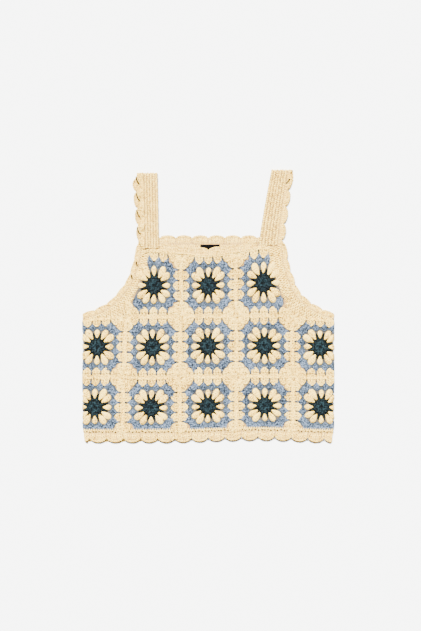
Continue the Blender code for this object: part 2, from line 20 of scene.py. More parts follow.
import bpy
import numpy as np
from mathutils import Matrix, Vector

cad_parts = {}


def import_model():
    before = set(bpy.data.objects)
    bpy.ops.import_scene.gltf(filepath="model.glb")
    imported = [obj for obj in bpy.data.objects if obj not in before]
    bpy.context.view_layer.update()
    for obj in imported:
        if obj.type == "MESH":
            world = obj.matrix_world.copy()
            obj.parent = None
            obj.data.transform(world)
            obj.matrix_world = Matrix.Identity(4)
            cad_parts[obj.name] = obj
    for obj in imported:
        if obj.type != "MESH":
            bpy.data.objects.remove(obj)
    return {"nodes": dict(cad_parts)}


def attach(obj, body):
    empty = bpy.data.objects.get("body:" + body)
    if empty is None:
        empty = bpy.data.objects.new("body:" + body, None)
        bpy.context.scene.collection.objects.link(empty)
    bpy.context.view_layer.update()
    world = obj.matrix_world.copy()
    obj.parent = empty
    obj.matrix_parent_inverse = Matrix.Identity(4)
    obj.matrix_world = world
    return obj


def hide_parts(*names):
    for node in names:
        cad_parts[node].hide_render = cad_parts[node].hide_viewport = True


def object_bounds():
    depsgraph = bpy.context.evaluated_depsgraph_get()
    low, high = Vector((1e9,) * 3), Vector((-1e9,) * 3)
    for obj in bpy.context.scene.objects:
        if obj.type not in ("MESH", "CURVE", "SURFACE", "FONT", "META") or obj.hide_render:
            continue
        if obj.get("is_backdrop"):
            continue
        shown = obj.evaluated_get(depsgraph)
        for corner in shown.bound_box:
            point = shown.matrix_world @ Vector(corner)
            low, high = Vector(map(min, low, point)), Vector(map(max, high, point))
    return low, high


log = logging.getLogger("crochet_top")

MM = 0.001
Array = np.ndarray
Lay = Callable[[Array], Array]
Spot = tuple[float, float]
Placing = Callable[[float, float], Spot]

SQUARE = 100.0            # width of a nominal square on the bench
CELL = 120.0              # from one nominal square's centre to the next
BAKE_REACH = 0.26         # half the width of floor that the flat map covers, in metres
FOLD_FACETS = 6           # facets of the backing cloth round a fold


# --- Small sums ---------------------------------------------------------------------------------
def smooth(value: Array) -> Array:
    """Ease values between 0 and 1."""
    value = np.clip(value, 0.0, 1.0)
    return value * value * (3 - 2 * value)


def span_share(value: Array, span: tuple[float, float]) -> Array:
    """How far values lie through a span, eased."""
    return smooth((value - span[0]) / (span[1] - span[0]))


def eased(value: float) -> float:
    """Ease one value between 0 and 1."""
    return float(smooth(np.array(value)))


def stacked(*columns: Array) -> Array:
    """Columns side by side, each stretched to the longest."""
    return np.stack(np.broadcast_arrays(*columns), axis=-1).astype(float)


def mark(mesh: bpy.types.Mesh, name: str, values: Array) -> None:
    """Keep a whole number, a number or a vector on each of a mesh's points.

    Args:
        mesh: The mesh.
        name: The attribute's name.
        values: One number, or a row of three, to a point.
    """
    values = np.ascontiguousarray(values)
    if values.ndim > 1:
        kind, key = "FLOAT_VECTOR", "vector"
    else:
        kind, key = ("INT" if values.dtype.kind == "i" else "FLOAT"), "value"
    mesh.attributes.new(name, kind, "POINT").data.foreach_set(key, values.ravel())


# --- The garment's measures ---------------------------------------------------------------------
class Layer(Enum):
    """The two layers of the garment as it lies."""

    FRONT = "front"
    BACK = "back"


class Row(NamedTuple):
    """One row of squares: heights of its bottom, centres and top."""

    bottom: float
    centre: float
    top: float


class Place(NamedTuple):
    """How far a square's centre was drawn aside when the top was laid down."""

    column: int
    row: int
    aside: float
    up: float


ROWS = (Row(-224.1, -179.5, -125.0), Row(-125.0, -71.0, -17.0), Row(-17.0, 37.2, 91.3))
LOW, MID, TOP = range(3)
PLACES = (
    Place(-2, LOW, -2.8, -0.5), Place(-1, LOW, -2.1, -1.7), Place(0, LOW, -0.5, 0.2),
    Place(1, LOW, 0.6, 1.1), Place(2, LOW, 1.8, -0.3),
    Place(-2, MID, 1.6, -0.9), Place(-1, MID, 0.4, -2.2), Place(0, MID, -0.8, 0.1),
    Place(1, MID, 0.1, 0.8), Place(2, MID, -0.5, -1.7),
    Place(-1, TOP, 3.4, -0.2), Place(0, TOP, -0.1, -0.7), Place(1, TOP, -1.7, -0.4),
)


@dataclass(frozen=True)
class Cut:
    """The cloth's measures and the way it lies on the floor."""

    body_width: float = 450.0
    squares_round: int = 9
    cloth: float = 2.8
    layer_gap: float = 0.3
    front_seam: float = 102.0
    back_seam: float = 111.0
    neck_curve: float = 95.0
    neck_half: float = 87.0
    cut_top: float = 105.9
    side_dip: float = 8.5
    right_lift: float = 5.5
    lift_rise: tuple[float, float] = (-17.0, 43.0)
    sway: float = 4.0
    sway_centre: float = 93.0
    sway_left: float = 170.0
    sway_right: float = 125.0
    sway_fall: tuple[float, float] = (-155.0, -224.0)
    pinch: float = 0.018
    pinch_fall: tuple[float, float] = (-205.0, -245.0)
    shift_fade: tuple[float, float] = (1.15, 1.45)
    relief_fade: float = 6.0
    highest: float = 3.5
    floor_gap: float = 0.04
    hem_band: float = 50.9

    @property
    def half(self) -> float:
        """Half the cloth's thickness."""
        return self.cloth / 2

    @property
    def fold_radius(self) -> float:
        """Radius of the cloth's middle round a fold."""
        return (self.cloth + self.layer_gap) / 2

    @property
    def fold_middle(self) -> float:
        """Height of a fold's axis."""
        return self.half + self.fold_radius

    @property
    def front_middle(self) -> float:
        """Height of the middle of the front layer."""
        return self.fold_middle + self.fold_radius

    @property
    def fold_start(self) -> float:
        """Distance across at which the side fold begins."""
        return self.body_width / 2 - self.fold_radius - self.half

    @property
    def fold_length(self) -> float:
        """Length of cloth in a fold."""
        return math.pi * self.fold_radius

    @property
    def side_line(self) -> float:
        """Distance across at which the front meets the back."""
        return self.fold_start + self.fold_length / 2

    @property
    def pitch(self) -> float:
        """Width of one square from seam to seam."""
        return 4 * self.side_line / self.squares_round

    def neckline(self, across: Array) -> Array:
        """Height of the front's upper edge."""
        low = ROWS[TOP].top
        return low + (self.front_seam - low) * np.clip(abs(across) / self.neck_curve, 0, 1) ** 2

    def side_top(self, across: Array) -> Array:
        """Height of the middle row's upper edge, which sinks towards the side folds."""
        inner = 1.5 * self.pitch
        run = self.fold_start - inner
        share = np.clip((abs(across) - inner) / run, 0, 1)
        mirrored = np.clip((2 * self.side_line - inner - abs(across)) / run, 0, 1)
        return ROWS[MID].top - self.side_dip * np.minimum(share, mirrored)

    def relief_share(self, across: Array) -> Array:
        """1 on the front, fading to 0 at the side fold, so the underside lies flat."""
        run = self.side_line - self.fold_start + self.relief_fade
        return np.clip((self.side_line - abs(across)) / run, 0, 1)

    def armhole_cut(self, up: Array) -> Array:
        """Distance across at which the armholes cut the top squares, at heights."""
        inner, row = 1.5 * self.pitch, ROWS[TOP]
        slope = (self.cut_top - inner) / (row.top - row.bottom)
        return inner + slope * (up - row.bottom)

    def folded(self, past: Array, out: Array) -> tuple[Array, Array]:
        """Lay cloth that is folded back under itself.

        Args:
            past: Length past the start of the fold, below 0 on the front.
            out: Distance out of the cloth's middle.

        Returns:
            How far each point lies beyond the start of the fold, and its height.
        """
        angle = np.clip(past, 0, self.fold_length) / self.fold_radius
        radius = self.fold_radius + out
        on_front, in_fold = past <= 0, past < self.fold_length
        beyond = np.where(in_fold, radius * np.sin(angle), self.fold_length - past)
        height = np.where(in_fold, self.fold_middle + radius * np.cos(angle), self.half - out)
        return np.where(on_front, past, beyond), np.where(on_front, self.front_middle + out, height)

    def wrapped(self, across: Array) -> Array:
        """Distances across brought to the range round the front's centre line."""
        tube = 4 * self.side_line
        return (across + tube / 2) % tube - tube / 2

    def lay_body(self, points: Array) -> Array:
        """Lay points of the tube flat, folded at both sides.

        Args:
            points: Across, up and out of each point, in millimetres.

        Returns:
            The places on the floor, in millimetres.
        """
        across, up, out = self.wrapped(points[:, 0]), points[:, 1], points[:, 2]
        lowest = self.half - self.floor_gap
        room = lowest + (self.highest - lowest) * self.relief_share(across)
        out = np.clip(out, -self.half, room)
        past = abs(across) - self.fold_start
        beyond, z = self.folded(past, out)
        x = np.where(across < 0, -1.0, 1.0) * (self.fold_start + beyond)
        lift = self.right_lift * np.clip(across / self.pitch, 0, 1) * span_share(up, self.lift_rise)
        up = up + np.where(past <= 0, lift, 0.0)
        reach = np.where(x > self.sway_centre, self.sway_right, self.sway_left)
        bump = np.clip(1 - ((x - self.sway_centre) / reach) ** 2, 0, 1) ** 2
        up = up + self.sway * bump * span_share(up, self.sway_fall)
        return stacked(x * (1 - self.pinch * span_share(up, self.pinch_fall)), up, z)

    def drawn_aside(self, columns: Array, rows: Array) -> Array:
        """How far the cloth was drawn aside and up, eased from one square to the next.

        Args:
            columns: Places counted in squares from the front's middle.
            rows: Places counted in squares from the low row's middle.

        Returns:
            The shift of each place.
        """
        shifts = np.zeros((3, self.squares_round, 2))
        for place in PLACES:
            shifts[place.row, place.column] = place.aside, place.up
        total = np.zeros((len(columns), 2))
        left, below = np.floor(columns), np.floor(np.clip(rows, 0, TOP)).clip(max=MID)
        for i in (0, 1):
            for j in (0, 1):
                across = smooth(1 - abs(columns - left - i))
                up = smooth(1 - abs(np.clip(rows, 0, TOP) - below - j))
                near = shifts[(below + j).astype(int), (left + i).astype(int) % self.squares_round]
                total += near * (across * up)[:, None]
        total[:, 1] *= 1 - span_share(abs(rows - 1), self.shift_fade)
        return total

    def square_to_cloth(self, column: Array, row: Array, x: Array, y: Array) -> tuple[Array, Array]:
        """Take places in nominal squares to their place on the cloth.

        Args:
            column: Column of each place's square; 0 is the front's middle.
            row: Row of each place's square.
            x: Distance right of the square's centre.
            y: Distance above it.

        Returns:
            Across and up of each place.
        """
        rows = np.array(ROWS)[row]
        x, y = x / (SQUARE / 2), y / (SQUARE / 2)
        shift = self.drawn_aside(column + x / 2, row + y / 2)
        below = np.where(row == LOW, self.hem_band, rows[:, 1] - rows[:, 0])
        above = rows[:, 2] - rows[:, 1]
        across = column * self.pitch + x * self.pitch / 2 + shift[:, 0]
        up = rows[:, 1] + np.where(y > 0, y * above, y * below) + shift[:, 1]
        share = np.clip((up - rows[:, 1]) / above, 0, 1) ** 2
        edge = np.where(row == TOP, self.neckline(across), self.side_top(across))
        return across, up + np.where(row == LOW, 0.0, (edge - rows[:, 2]) * share)


CUT = Cut()


# --- Node trees ---------------------------------------------------------------------------------
class Wire:
    """A node's output socket that can be used in sums."""

    def __init__(self, graph: "Graph", socket: bpy.types.NodeSocket) -> None:
        """Keep the tree and the socket."""
        self.graph = graph
        self.socket = socket

    def _sum(self, operation: str, *terms: object) -> "Wire":
        """A Math node on these terms."""
        values = {i: term for i, term in enumerate(terms)}
        return self.graph.node("ShaderNodeMath", {"operation": operation}, values)

    def __add__(self, other: object) -> "Wire":
        """This plus other."""
        return self._sum("ADD", self, other)

    def __sub__(self, other: object) -> "Wire":
        """This minus other."""
        return self._sum("SUBTRACT", self, other)

    def __mul__(self, other: object) -> "Wire":
        """This times other."""
        return self._sum("MULTIPLY", self, other)

    def __rsub__(self, other: object) -> "Wire":
        """Other minus this."""
        return self._sum("SUBTRACT", other, self)

    def __truediv__(self, other: object) -> "Wire":
        """This over other."""
        return self._sum("DIVIDE", self, other)

    __radd__ = __add__
    __rmul__ = __mul__

    def apply(self, operation: str, *terms: object) -> "Wire":
        """Another Math operation on this and more terms."""
        return self._sum(operation, self, *terms)

    def positive(self) -> "Wire":
        """This, or 0 where it is below 0."""
        return self.apply("MAXIMUM", 0.0)

    def below(self, limit: float, soft: float) -> "Wire":
        """1 where this is below a limit and 0 above it, with a soft edge."""
        return ((limit - self) / soft + 0.5).apply("MINIMUM", 1.0).positive()


class Graph:
    """Builds one node tree."""

    def __init__(self, tree: bpy.types.NodeTree) -> None:
        """Keep the tree."""
        self.tree = tree

    def connect(self, socket: bpy.types.NodeSocket, value: object) -> None:
        """Link a wire to an input socket, or set the socket's own value."""
        if isinstance(value, Wire):
            self.tree.links.new(value.socket, socket)
        else:
            socket.default_value = value

    def add(self, kind: str, settings: dict, values: dict) -> bpy.types.Node:
        """Add a node.

        Args:
            kind: The node's type.
            settings: Properties, set first.
            values: Values or wires by input name or number.

        Returns:
            The node.
        """
        node = self.tree.nodes.new(kind)
        for name, value in settings.items():
            setattr(node, name, value)
        for key, value in values.items():
            sockets = node.inputs
            named = [s for s in sockets if s.name == key and s.enabled]
            self.connect(named[0] if named else sockets[key], value)
        return node

    def node(self, kind: str, settings: dict, values: dict, output: object = None) -> Wire:
        """Add a node and give its first usable output, or the one named."""
        node = self.add(kind, settings, values)
        usable = [s for s in node.outputs if s.enabled and (output is None or s.name == output)]
        return Wire(self, usable[0])

    def blend(self, share: Wire, first: object, second: object) -> Wire:
        """A colour between two, by a share that is kept between 0 and 1."""
        first, second = (colour if isinstance(colour, Wire) else (*colour, 1.0)
                         for colour in (first, second))
        return self.node("ShaderNodeMix", {"data_type": "RGBA", "clamp_factor": True},
                         {"Factor": share, 6: first, 7: second}, "Result")

    def place(self) -> Wire:
        """Places on the object."""
        return self.node("ShaderNodeTexCoord", {}, {}, "Object")

    def noise(self, place: Wire, scale: float, detail: float = 2.0) -> Wire:
        """Noise about 0.5."""
        values = {"Vector": place, "Scale": scale, "Detail": detail}
        return self.node("ShaderNodeTexNoise", {}, values)

    def read(self, name: str, output: str = "Fac") -> Wire:
        """An attribute of the mesh."""
        return self.node("ShaderNodeAttribute", {"attribute_name": name}, {}, output)

    def parts(self, vector: Wire) -> list[Wire]:
        """The three parts of a vector."""
        node = self.add("ShaderNodeSeparateXYZ", {}, {0: vector})
        return [Wire(self, socket) for socket in node.outputs]

    def bump(self, height: Wire, strength: float, distance: float) -> Wire:
        """Normals that follow a height, whose full step is a distance in metres."""
        values = {"Height": height, "Strength": strength, "Distance": distance}
        return self.node("ShaderNodeBump", {}, values)


# --- Finishes -----------------------------------------------------------------------------------
Colour = tuple[float, float, float]


@dataclass(frozen=True)
class Finish:
    """A finish with a node tree of its own."""

    name: str

    def surface(self, graph: Graph) -> dict[str, object]:
        """The shader's values and wires, by input name."""
        raise NotImplementedError

    def material(self) -> bpy.types.Material:
        """The finish's material, made once."""
        made = bpy.data.materials.get(self.name)
        if made is None:
            made = bpy.data.materials.new(self.name)
            made.use_nodes = True
            made.node_tree.nodes.clear()
            graph = Graph(made.node_tree)
            shader = graph.node("ShaderNodeBsdfPrincipled", {}, self.surface(graph))
            graph.add("ShaderNodeOutputMaterial", {}, {"Surface": shader})
        return made


@dataclass(frozen=True)
class Cotton(Finish):
    """Spun cotton yarn of one colour."""

    slot: str
    colour: Colour
    # Dark end of the colour: painted shade, and random darker tone.
    shade: Colour
    light: Colour
    sheen: float
    gloss: float
    # How much the grooves between plies are darkened, as painted shade.
    ply_shade: float
    flecks: float
    fleck_scale: float = 330.0
    specks: float = 0.0
    speck_scale: float = 620.0
    speck_level: float = 0.58
    fibre_scale: float = 1400.0
    fibre_shade: float = 0.25
    fibre_depth: float = 0.5
    patch_scale: float = 28.0
    patch_share: float = 0.5
    uneven: float = 0.6
    lightness: float = 0.3
    # Share of the dark colour kept in the deepest painted shade.
    deepest: float = 0.15
    roughness: float = 0.88
    rough_spread: float = 0.12
    plies: float = 2.0
    twist: float = 2.2
    ply_depth: float = 0.35

    def patchiness(self, graph: Graph, place: Wire) -> Wire:
        """How light the yarn is from place to place and stitch to stitch."""
        slow = graph.noise(place, self.patch_scale) - 0.5
        fine = graph.noise(place, self.fleck_scale) - 0.5
        tint = graph.read("tint") - 0.5
        return (slow * self.patch_share + fine * self.flecks + tint * self.uneven
                + self.lightness)

    def surface(self, graph: Graph) -> dict[str, object]:
        """Plies that wind round each strand, with fibre, flecks and painted shade in the grooves.

        Args:
            graph: The finish's tree.

        Returns:
            The shader's values and wires, by input name.
        """
        place = graph.place()
        cosine, sine, length = graph.parts(graph.read("ply", "Vector"))
        angle = sine.apply("ARCTAN2", cosine)
        wave = (angle * self.plies + length * self.twist).apply("COSINE")
        fibre = graph.noise(place, self.fibre_scale)
        patch = self.patchiness(graph, place)
        specks = (graph.noise(place, self.speck_scale, 1.0) - self.speck_level).positive()
        # Painted shade in ply grooves and on strands marked shaded, with random darker fibre,
        # patches and specks.
        dark = ((0.0 - wave).positive() * self.ply_shade + (fibre - 0.5) * self.fibre_shade
                + graph.read("shade") + (0.0 - patch).positive() + specks * self.specks)
        # Random tone, then painted shade and random darkening towards the dark colour.
        tone_and_shade = graph.blend(dark, graph.blend(patch, self.colour, self.light), self.shade)
        # Near black for painted shade deep in gaps, where the darkening passes 1.
        deep = tuple(part * self.deepest for part in self.shade)
        return {
            "Base Color": graph.blend(dark - 1.0, tone_and_shade, deep),
            "Roughness": (fibre - 0.5) * self.rough_spread + self.roughness,
            "Normal": graph.bump(wave * self.ply_depth + fibre * self.fibre_depth, 0.5, 0.0004),
            "Sheen Weight": self.sheen, "Sheen Roughness": 0.5, "Specular IOR Level": self.gloss,
        }


CREAM = Cotton("cotton_cream_yarn", "cotton_cream", (0.88, 0.55, 0.080), (0.12, 0.055, 0.012),
               (0.97, 0.71, 0.185), sheen=0.03, gloss=0.10, ply_shade=0.42, flecks=4.6,
               fleck_scale=420.0, specks=6.5)
BLUE = Cotton("cotton_blue_yarn", "cotton_blue", (0.048, 0.073, 0.108), (0.006, 0.009, 0.013),
              (0.168, 0.215, 0.295), sheen=0.03, gloss=0.12, ply_shade=0.62, flecks=6.5)
TEAL = Cotton("cotton_teal_yarn", "cotton_teal", (0.0012, 0.0052, 0.0068),
              (0.0001, 0.0006, 0.0008), (0.0120, 0.0270, 0.0320), sheen=0.02, gloss=0.08,
              ply_shade=0.60, flecks=9.0)


@dataclass(frozen=True)
class LabelTape(Finish):
    """A plain woven black label."""

    name: str = "label_black_tape"
    weave: float = 9000.0
    dark: Colour = (0.0004, 0.0004, 0.0005)
    pale: Colour = (0.0016, 0.0015, 0.0016)

    def surface(self, graph: Graph) -> dict[str, object]:
        """Threads that pass over and under each other."""
        x, y, _ = graph.parts(graph.place())
        weave = (x * self.weave).apply("SINE") * (y * self.weave).apply("SINE")
        return {
            "Base Color": graph.blend(weave * 0.5 + 0.5, self.dark, self.pale),
            "Roughness": 0.8, "Normal": graph.bump(weave, 0.4, 0.0002),
            "Specular IOR Level": 0.03,
        }

    def dress(self, node: bpy.types.Object) -> None:
        """Give the label's solid its woven finish."""
        node.data.materials.clear()
        node.data.materials.append(self.material())


@dataclass(frozen=True)
class BackingCloth(Finish):
    """The thin cloth under the stitches, darkened as painted shade; where zoned, coloured round by
    round like them.
    """

    zoned: bool
    dark: Colour
    pale: Colour
    # Zone colours, kept dark as painted shade seen through the holes of each round.
    blue: Colour = (0.034, 0.045, 0.056)
    blue_reach: tuple[float, float] = (40.5, 67.2)
    ground: Colour = (0.060, 0.052, 0.042)
    ground_reach: tuple[float, float] = (27.0, 48.0)
    centre: Colour = (0.003, 0.005, 0.005)
    centre_radius: float = 22.0
    soft: float = 1.0
    softer: float = 1.5
    fibre_scale: float = 420.0

    def zones(self, graph: Graph, tone_and_shade: Wire) -> Wire:
        """Colour the rounds by each square's own "cell" places.

        Args:
            graph: The finish's tree.
            tone_and_shade: The colour outside the rounds.

        Returns:
            The colour all over.
        """
        x, y, kept = graph.parts(graph.read("cell", "Vector"))
        wide, high = x.apply("ABSOLUTE"), y.apply("ABSOLUTE")
        square, reach = wide.apply("MAXIMUM", high), wide + high
        radius = (x * x + y * y).apply("SQRT")
        zones = (
            (square.below(self.blue_reach[0], self.soft)
             * reach.below(self.blue_reach[1], self.soft), self.blue),
            (square.below(self.ground_reach[0], self.soft)
             * reach.below(self.ground_reach[1], self.softer), self.ground),
            (radius.below(self.centre_radius, self.softer), self.centre),
        )
        for mask, colour in zones:
            tone_and_shade = graph.blend(mask * kept, tone_and_shade, colour)
        return tone_and_shade

    def surface(self, graph: Graph) -> dict[str, object]:
        """Matt felted cloth, coloured in painted shade."""
        fibre = graph.noise(graph.place(), self.fibre_scale, 3.0)
        # Random fibre tone between two colours darkened as painted shade.
        tone_and_shade = graph.blend(fibre, self.dark, self.pale)
        return {
            "Base Color": self.zones(graph, tone_and_shade) if self.zoned else tone_and_shade,
            "Roughness": fibre * 0.1 + 0.85, "Normal": graph.bump(fibre, 0.6, 0.0006),
            "Specular IOR Level": 0.05,
        }


# Backing colours are darkened as painted shade, for what shows through the holes.
SHADED_BACKING = BackingCloth("cotton_backing", True, (0.20, 0.105, 0.03), (0.44, 0.26, 0.08))
PLAIN_SHADED_BACKING = BackingCloth("cotton_backing_plain", False, (0.22, 0.12, 0.04),
                             (0.50, 0.31, 0.11))
DEEP_SHADED_BACKING = BackingCloth("cotton_backing_deep", False, (0.13, 0.07, 0.022),
                            (0.36, 0.21, 0.07))


@dataclass(frozen=True)
class Paper(Finish):
    """The floor's plain pale paper."""

    name: str = "floor_paper"
    colour: Colour = (0.93, 0.93, 0.92)

    def surface(self, graph: Graph) -> dict[str, object]:
        """One matt colour."""
        return {"Base Color": (*self.colour, 1.0), "Roughness": 0.9}


# --- Stitches -----------------------------------------------------------------------------------
Point = tuple[float, float, float]


@dataclass(frozen=True)
class Strand:
    """One strand of yarn through a stitch: its line, and how thick it is along it.

    Its shade is painted shade along it, darker where it lies in shadow between others.
    """

    line: tuple[Point, ...]
    thick: tuple[float, ...] = (1.0,)
    shade: tuple[float, ...] = (0.0,)

    def mirrored(self) -> "Strand":
        """The same strand on the other side of the stitch."""
        return Strand(tuple((-x, y, z) for x, y, z in self.line), self.thick, self.shade)


@dataclass(frozen=True)
class Stitch:
    """A stitch: strands on its centre line and strands that come in mirrored pairs.

    Its own length runs along y from 0 to length, and its face is up.
    """

    name: str
    length: float
    single: tuple[Strand, ...]
    paired: tuple[Strand, ...] = ()

    def outline(self) -> bpy.types.Object:
        """The stitch's strands as lines of edges.

        Returns:
            An object for Object Info to read.
        """
        verts: list[Point] = []
        edges: list[tuple[int, int]] = []
        thick: list[float] = []
        shade: list[float] = []
        for strand in (*self.single, *self.paired, *(pair.mirrored() for pair in self.paired)):
            start, count = len(verts), len(strand.line)
            verts += strand.line
            edges += [(start + i, start + i + 1) for i in range(count - 1)]
            along = np.linspace(0, 1, count)
            for values, keys in ((thick, strand.thick), (shade, strand.shade)):
                values += list(np.interp(along, np.linspace(0, 1, len(keys)), keys))
        mesh = bpy.data.meshes.new(self.name)
        mesh.from_pydata(verts, edges, [])
        mark(mesh, "thick", thick)
        # The strands' painted shade, for the yarn's finish to read.
        mark(mesh, "shade", shade)
        return linked(self.name, mesh)


def linked(name: str, mesh: bpy.types.Mesh) -> bpy.types.Object:
    """A new object in the scene that shows a mesh."""
    made = bpy.data.objects.new(name, mesh)
    bpy.context.collection.objects.link(made)
    return made


# Shade values in these tables are painted shade: strand ends that dip into shadow between others,
# ray, spike and link tips, cluster feet, and the feet and heads of posts.
WEDGE = Stitch("wedge", 19.5, (
    Strand(((0, 10.8, 1.0), (0.15, 13.0, 2.0), (-0.1, 16.0, 2.6), (0, 19.8, 2.4)),
           (1.4, 1.1, 0.95, 0.8), (0.3, 0.8)),
), (
    Strand(((0.5, 0, 0.1), (1.2, 3, 0.9), (2.3, 6.5, 1.0), (2.7, 10.2, 0.5)),
           shade=(0.9, 0.0, 0.1, 0.6)),
    Strand(((0.2, 0.5, -0.2), (0.5, 3.3, 1.2), (0.9, 6.8, 1.5), (1.1, 10.6, 0.9)),
           shade=(0.9, 0.0, 0.1, 0.6)),
    Strand(((1.9, 4.4, 0.2), (1.2, 5.6, 2.0), (0.2, 6.2, 1.6))),
    Strand(((3.0, 8.4, 0.0), (1.8, 9.6, 2.0), (0.2, 10.4, 1.6)), shade=(0.5, 0.2)),
    Strand(((3.5, 9.8, 0.2), (2.2, 11.0, 1.2), (0.2, 12.0, 1.4)), (0.95,), (0.7, 0.5)),
))
PUFF = Stitch("puff", 15.0, (
    Strand(((0, 0, 1.3), (0.2, 3, 1.9), (0, 7, 2.3), (-0.2, 11, 2.3), (0, 14.0, 1.4),
            (0, 15.4, 0.2)), (0.85, 1.15, 1.3, 1.3, 1.15, 0.6)),
), (
    Strand(((0.4, 0, 1.0), (1.1, 3, 1.5), (1.9, 7, 2.0), (2.1, 10.6, 2.0), (1.4, 13.6, 1.2),
            (0.4, 15.2, 0.1)), (0.8, 1.1, 1.2, 1.2, 1.1, 0.6)),
    Strand(((0.7, 0.3, 0.5), (1.9, 3.2, 0.9), (3.4, 6.8, 1.2), (3.9, 10.0, 1.2),
            (3.0, 12.9, 0.7), (1.1, 14.8, 0.0)), (0.8, 1.05, 1.15, 1.15, 1.05, 0.6)),
))
DIAMOND = Stitch("diamond", 12.0, (
    Strand(((0, 0.2, 0.7), (-0.5, 3.5, 1.6), (0.4, 6.5, 1.8), (-0.3, 9.5, 1.3), (0, 12, 0.5)),
           shade=(0.45, 0.1, 0.0, 0.0)),
    Strand(((-1.7, 6.6, 0.9), (0, 7.9, 2.3), (1.7, 8.9, 0.8))),
    Strand(((-1.6, 3.2, 0.6), (0, 4.2, 2.1), (1.6, 5.0, 0.8))),
), (
    Strand(((1.3, 0, -0.1), (4.0, 2.4, 0.5), (5.4, 5.8, 0.7), (3.8, 9.0, 0.5), (1.2, 11.8, 0.2)),
           shade=(0.4, 0.1, 0.1, 0.2)),
    Strand(((0.5, 0.4, 0.3), (2.1, 3.2, 1.1), (2.9, 6.2, 1.3), (2.0, 9.4, 0.9),
            (0.5, 12.2, 0.3)), shade=(0.4, 0.1, 0.0, 0.1)),
    Strand(((5.0, 4.6, 0.1), (3.7, 6.4, 1.9), (1.8, 7.5, 1.2))),
    Strand(((4.6, 7.0, 0.0), (6.6, 6.2, 0.1), (8.4, 6.0, -0.2)), (0.85, 0.7), (0.1, 1.0)),
    Strand(((4.0, 8.4, -0.2), (6.4, 7.7, -0.1), (8.4, 7.4, -0.2)), (0.85, 0.7), (0.2, 1.0)),
))
SPIKE = Stitch("spike", 6.5, (), (
    Strand(((1.3, -0.8, 1.2), (0.9, 2.6, 2.5), (0.3, 6.5, 2.9)), (0.95, 0.85, 0.6),
           (0.1, 0.5, 0.9)),
))
FAN = Stitch("fan", 11.6, (
    Strand(((-0.9, 0, 0.5), (-1.2, 2.5, 1.4), (-0.2, 5, 1.8), (0.9, 7.5, 1.5), (-0.2, 10, 1.6),
            (-0.9, 12, 1.0))),
    Strand(((0.9, 0, 0.4), (1.2, 2.5, 1.0), (0.2, 5, 1.1), (-0.9, 7.5, 1.2), (0.2, 10, 1.0),
            (0.9, 12, 0.8))),
    Strand(((-2.1, 3.6, 0.6), (0, 4.9, 2.4), (2.1, 5.6, 0.8))),
    Strand(((-2.1, 8.2, 0.8), (0, 9.2, 2.2), (2.1, 10.2, 0.8))),
    Strand(((-3.8, 1.4, 0.5), (-2.0, -0.5, 1.2), (0, -1.1, 1.4), (2.0, -0.5, 1.2),
            (3.8, 1.4, 0.5)), (1.05,)),
), (
    Strand(((1.9, 0.5, 0.3), (2.6, 2.6, 1.2), (3.5, 5, 1.6), (3.5, 7.5, 1.3), (2.9, 10, 1.4),
            (2.9, 12, 0.9)), shade=(0.0, 0.3, 0.2, 0.0)),
    Strand(((3.2, 1.0, 0.2), (4.6, 2.8, 0.8), (5.2, 5, 1.0), (5.6, 7.5, 1.0), (5.5, 10, 1.1),
            (5.3, 12, 0.8))),
    Strand(((3.7, 1.4, 0.6), (6.3, 3.5, 1.3), (7.5, 6, 1.4), (7.6, 9, 1.2), (7.8, 12, 0.8)),
           (1.05,)),
    Strand(((2.3, 4.4, 1.0), (4.6, 5.6, 2.3), (6.9, 5.4, 0.9))),
    Strand(((2.4, 9.0, 1.0), (4.8, 9.0, 2.1), (7.0, 10.2, 0.9))),
))
POST = Stitch("post", 10.0, (
    Strand(((-1.0, 0, 0), (-1.1, 2.5, 0.5), (-0.2, 5, 0.9), (0.9, 7.5, 0.8), (1.0, 10, 0.4)),
           shade=(0.75, 0.0, 0.0, 0.0, 0.55)),
    Strand(((1.0, 0, 0), (1.1, 2.5, 0.2), (0.2, 5, 0.3), (-0.9, 7.5, 0.5), (-1.0, 10, 0.4)),
           shade=(0.75, 0.0, 0.15, 0.0, 0.55)),
    Strand(((-1.9, 4.3, 0.1), (0, 5.2, 1.5), (1.9, 6.1, 0.1))),
))
VEE = Stitch("vee", 4.0, (), (
    Strand(((1.5, -1.0, 0.2), (1.25, 0.9, 1.0), (0.3, 3.2, 0.3))),
))
GRAIN = Stitch("grain", 4.1, (
    Strand(((-0.75, -0.5, -0.1), (-0.4, 1.0, 0.9), (0.3, 2.7, 1.0), (0.75, 4.2, -0.1)),
           (0.85, 1.25, 1.25, 0.85)),
    Strand(((1.3, 0.2, -0.3), (0.9, 1.6, 0.4), (-0.5, 3.4, 0.2)), (0.8,)),
))


def painted_shadow_line(name: str, shade: float) -> Stitch:
    """A short strand coloured dark as painted shadow, for gaps, creases and edges in shadow."""
    line = (0, -0.3, 0.1), (0.2, 2.0, 0.2), (0, 4.3, 0.1)
    return Stitch(name, 4.0, (Strand(line, shade=(shade,)),))


# Painted shadow strands: deep gaps, the hem's edge, and seam grooves.
SHADOW_LINE, EDGE_SHADOW, GROOVE_SHADOW = painted_shadow_line("line", 1.9), painted_shadow_line("edge", 1.7), painted_shadow_line("groove", 1.0)


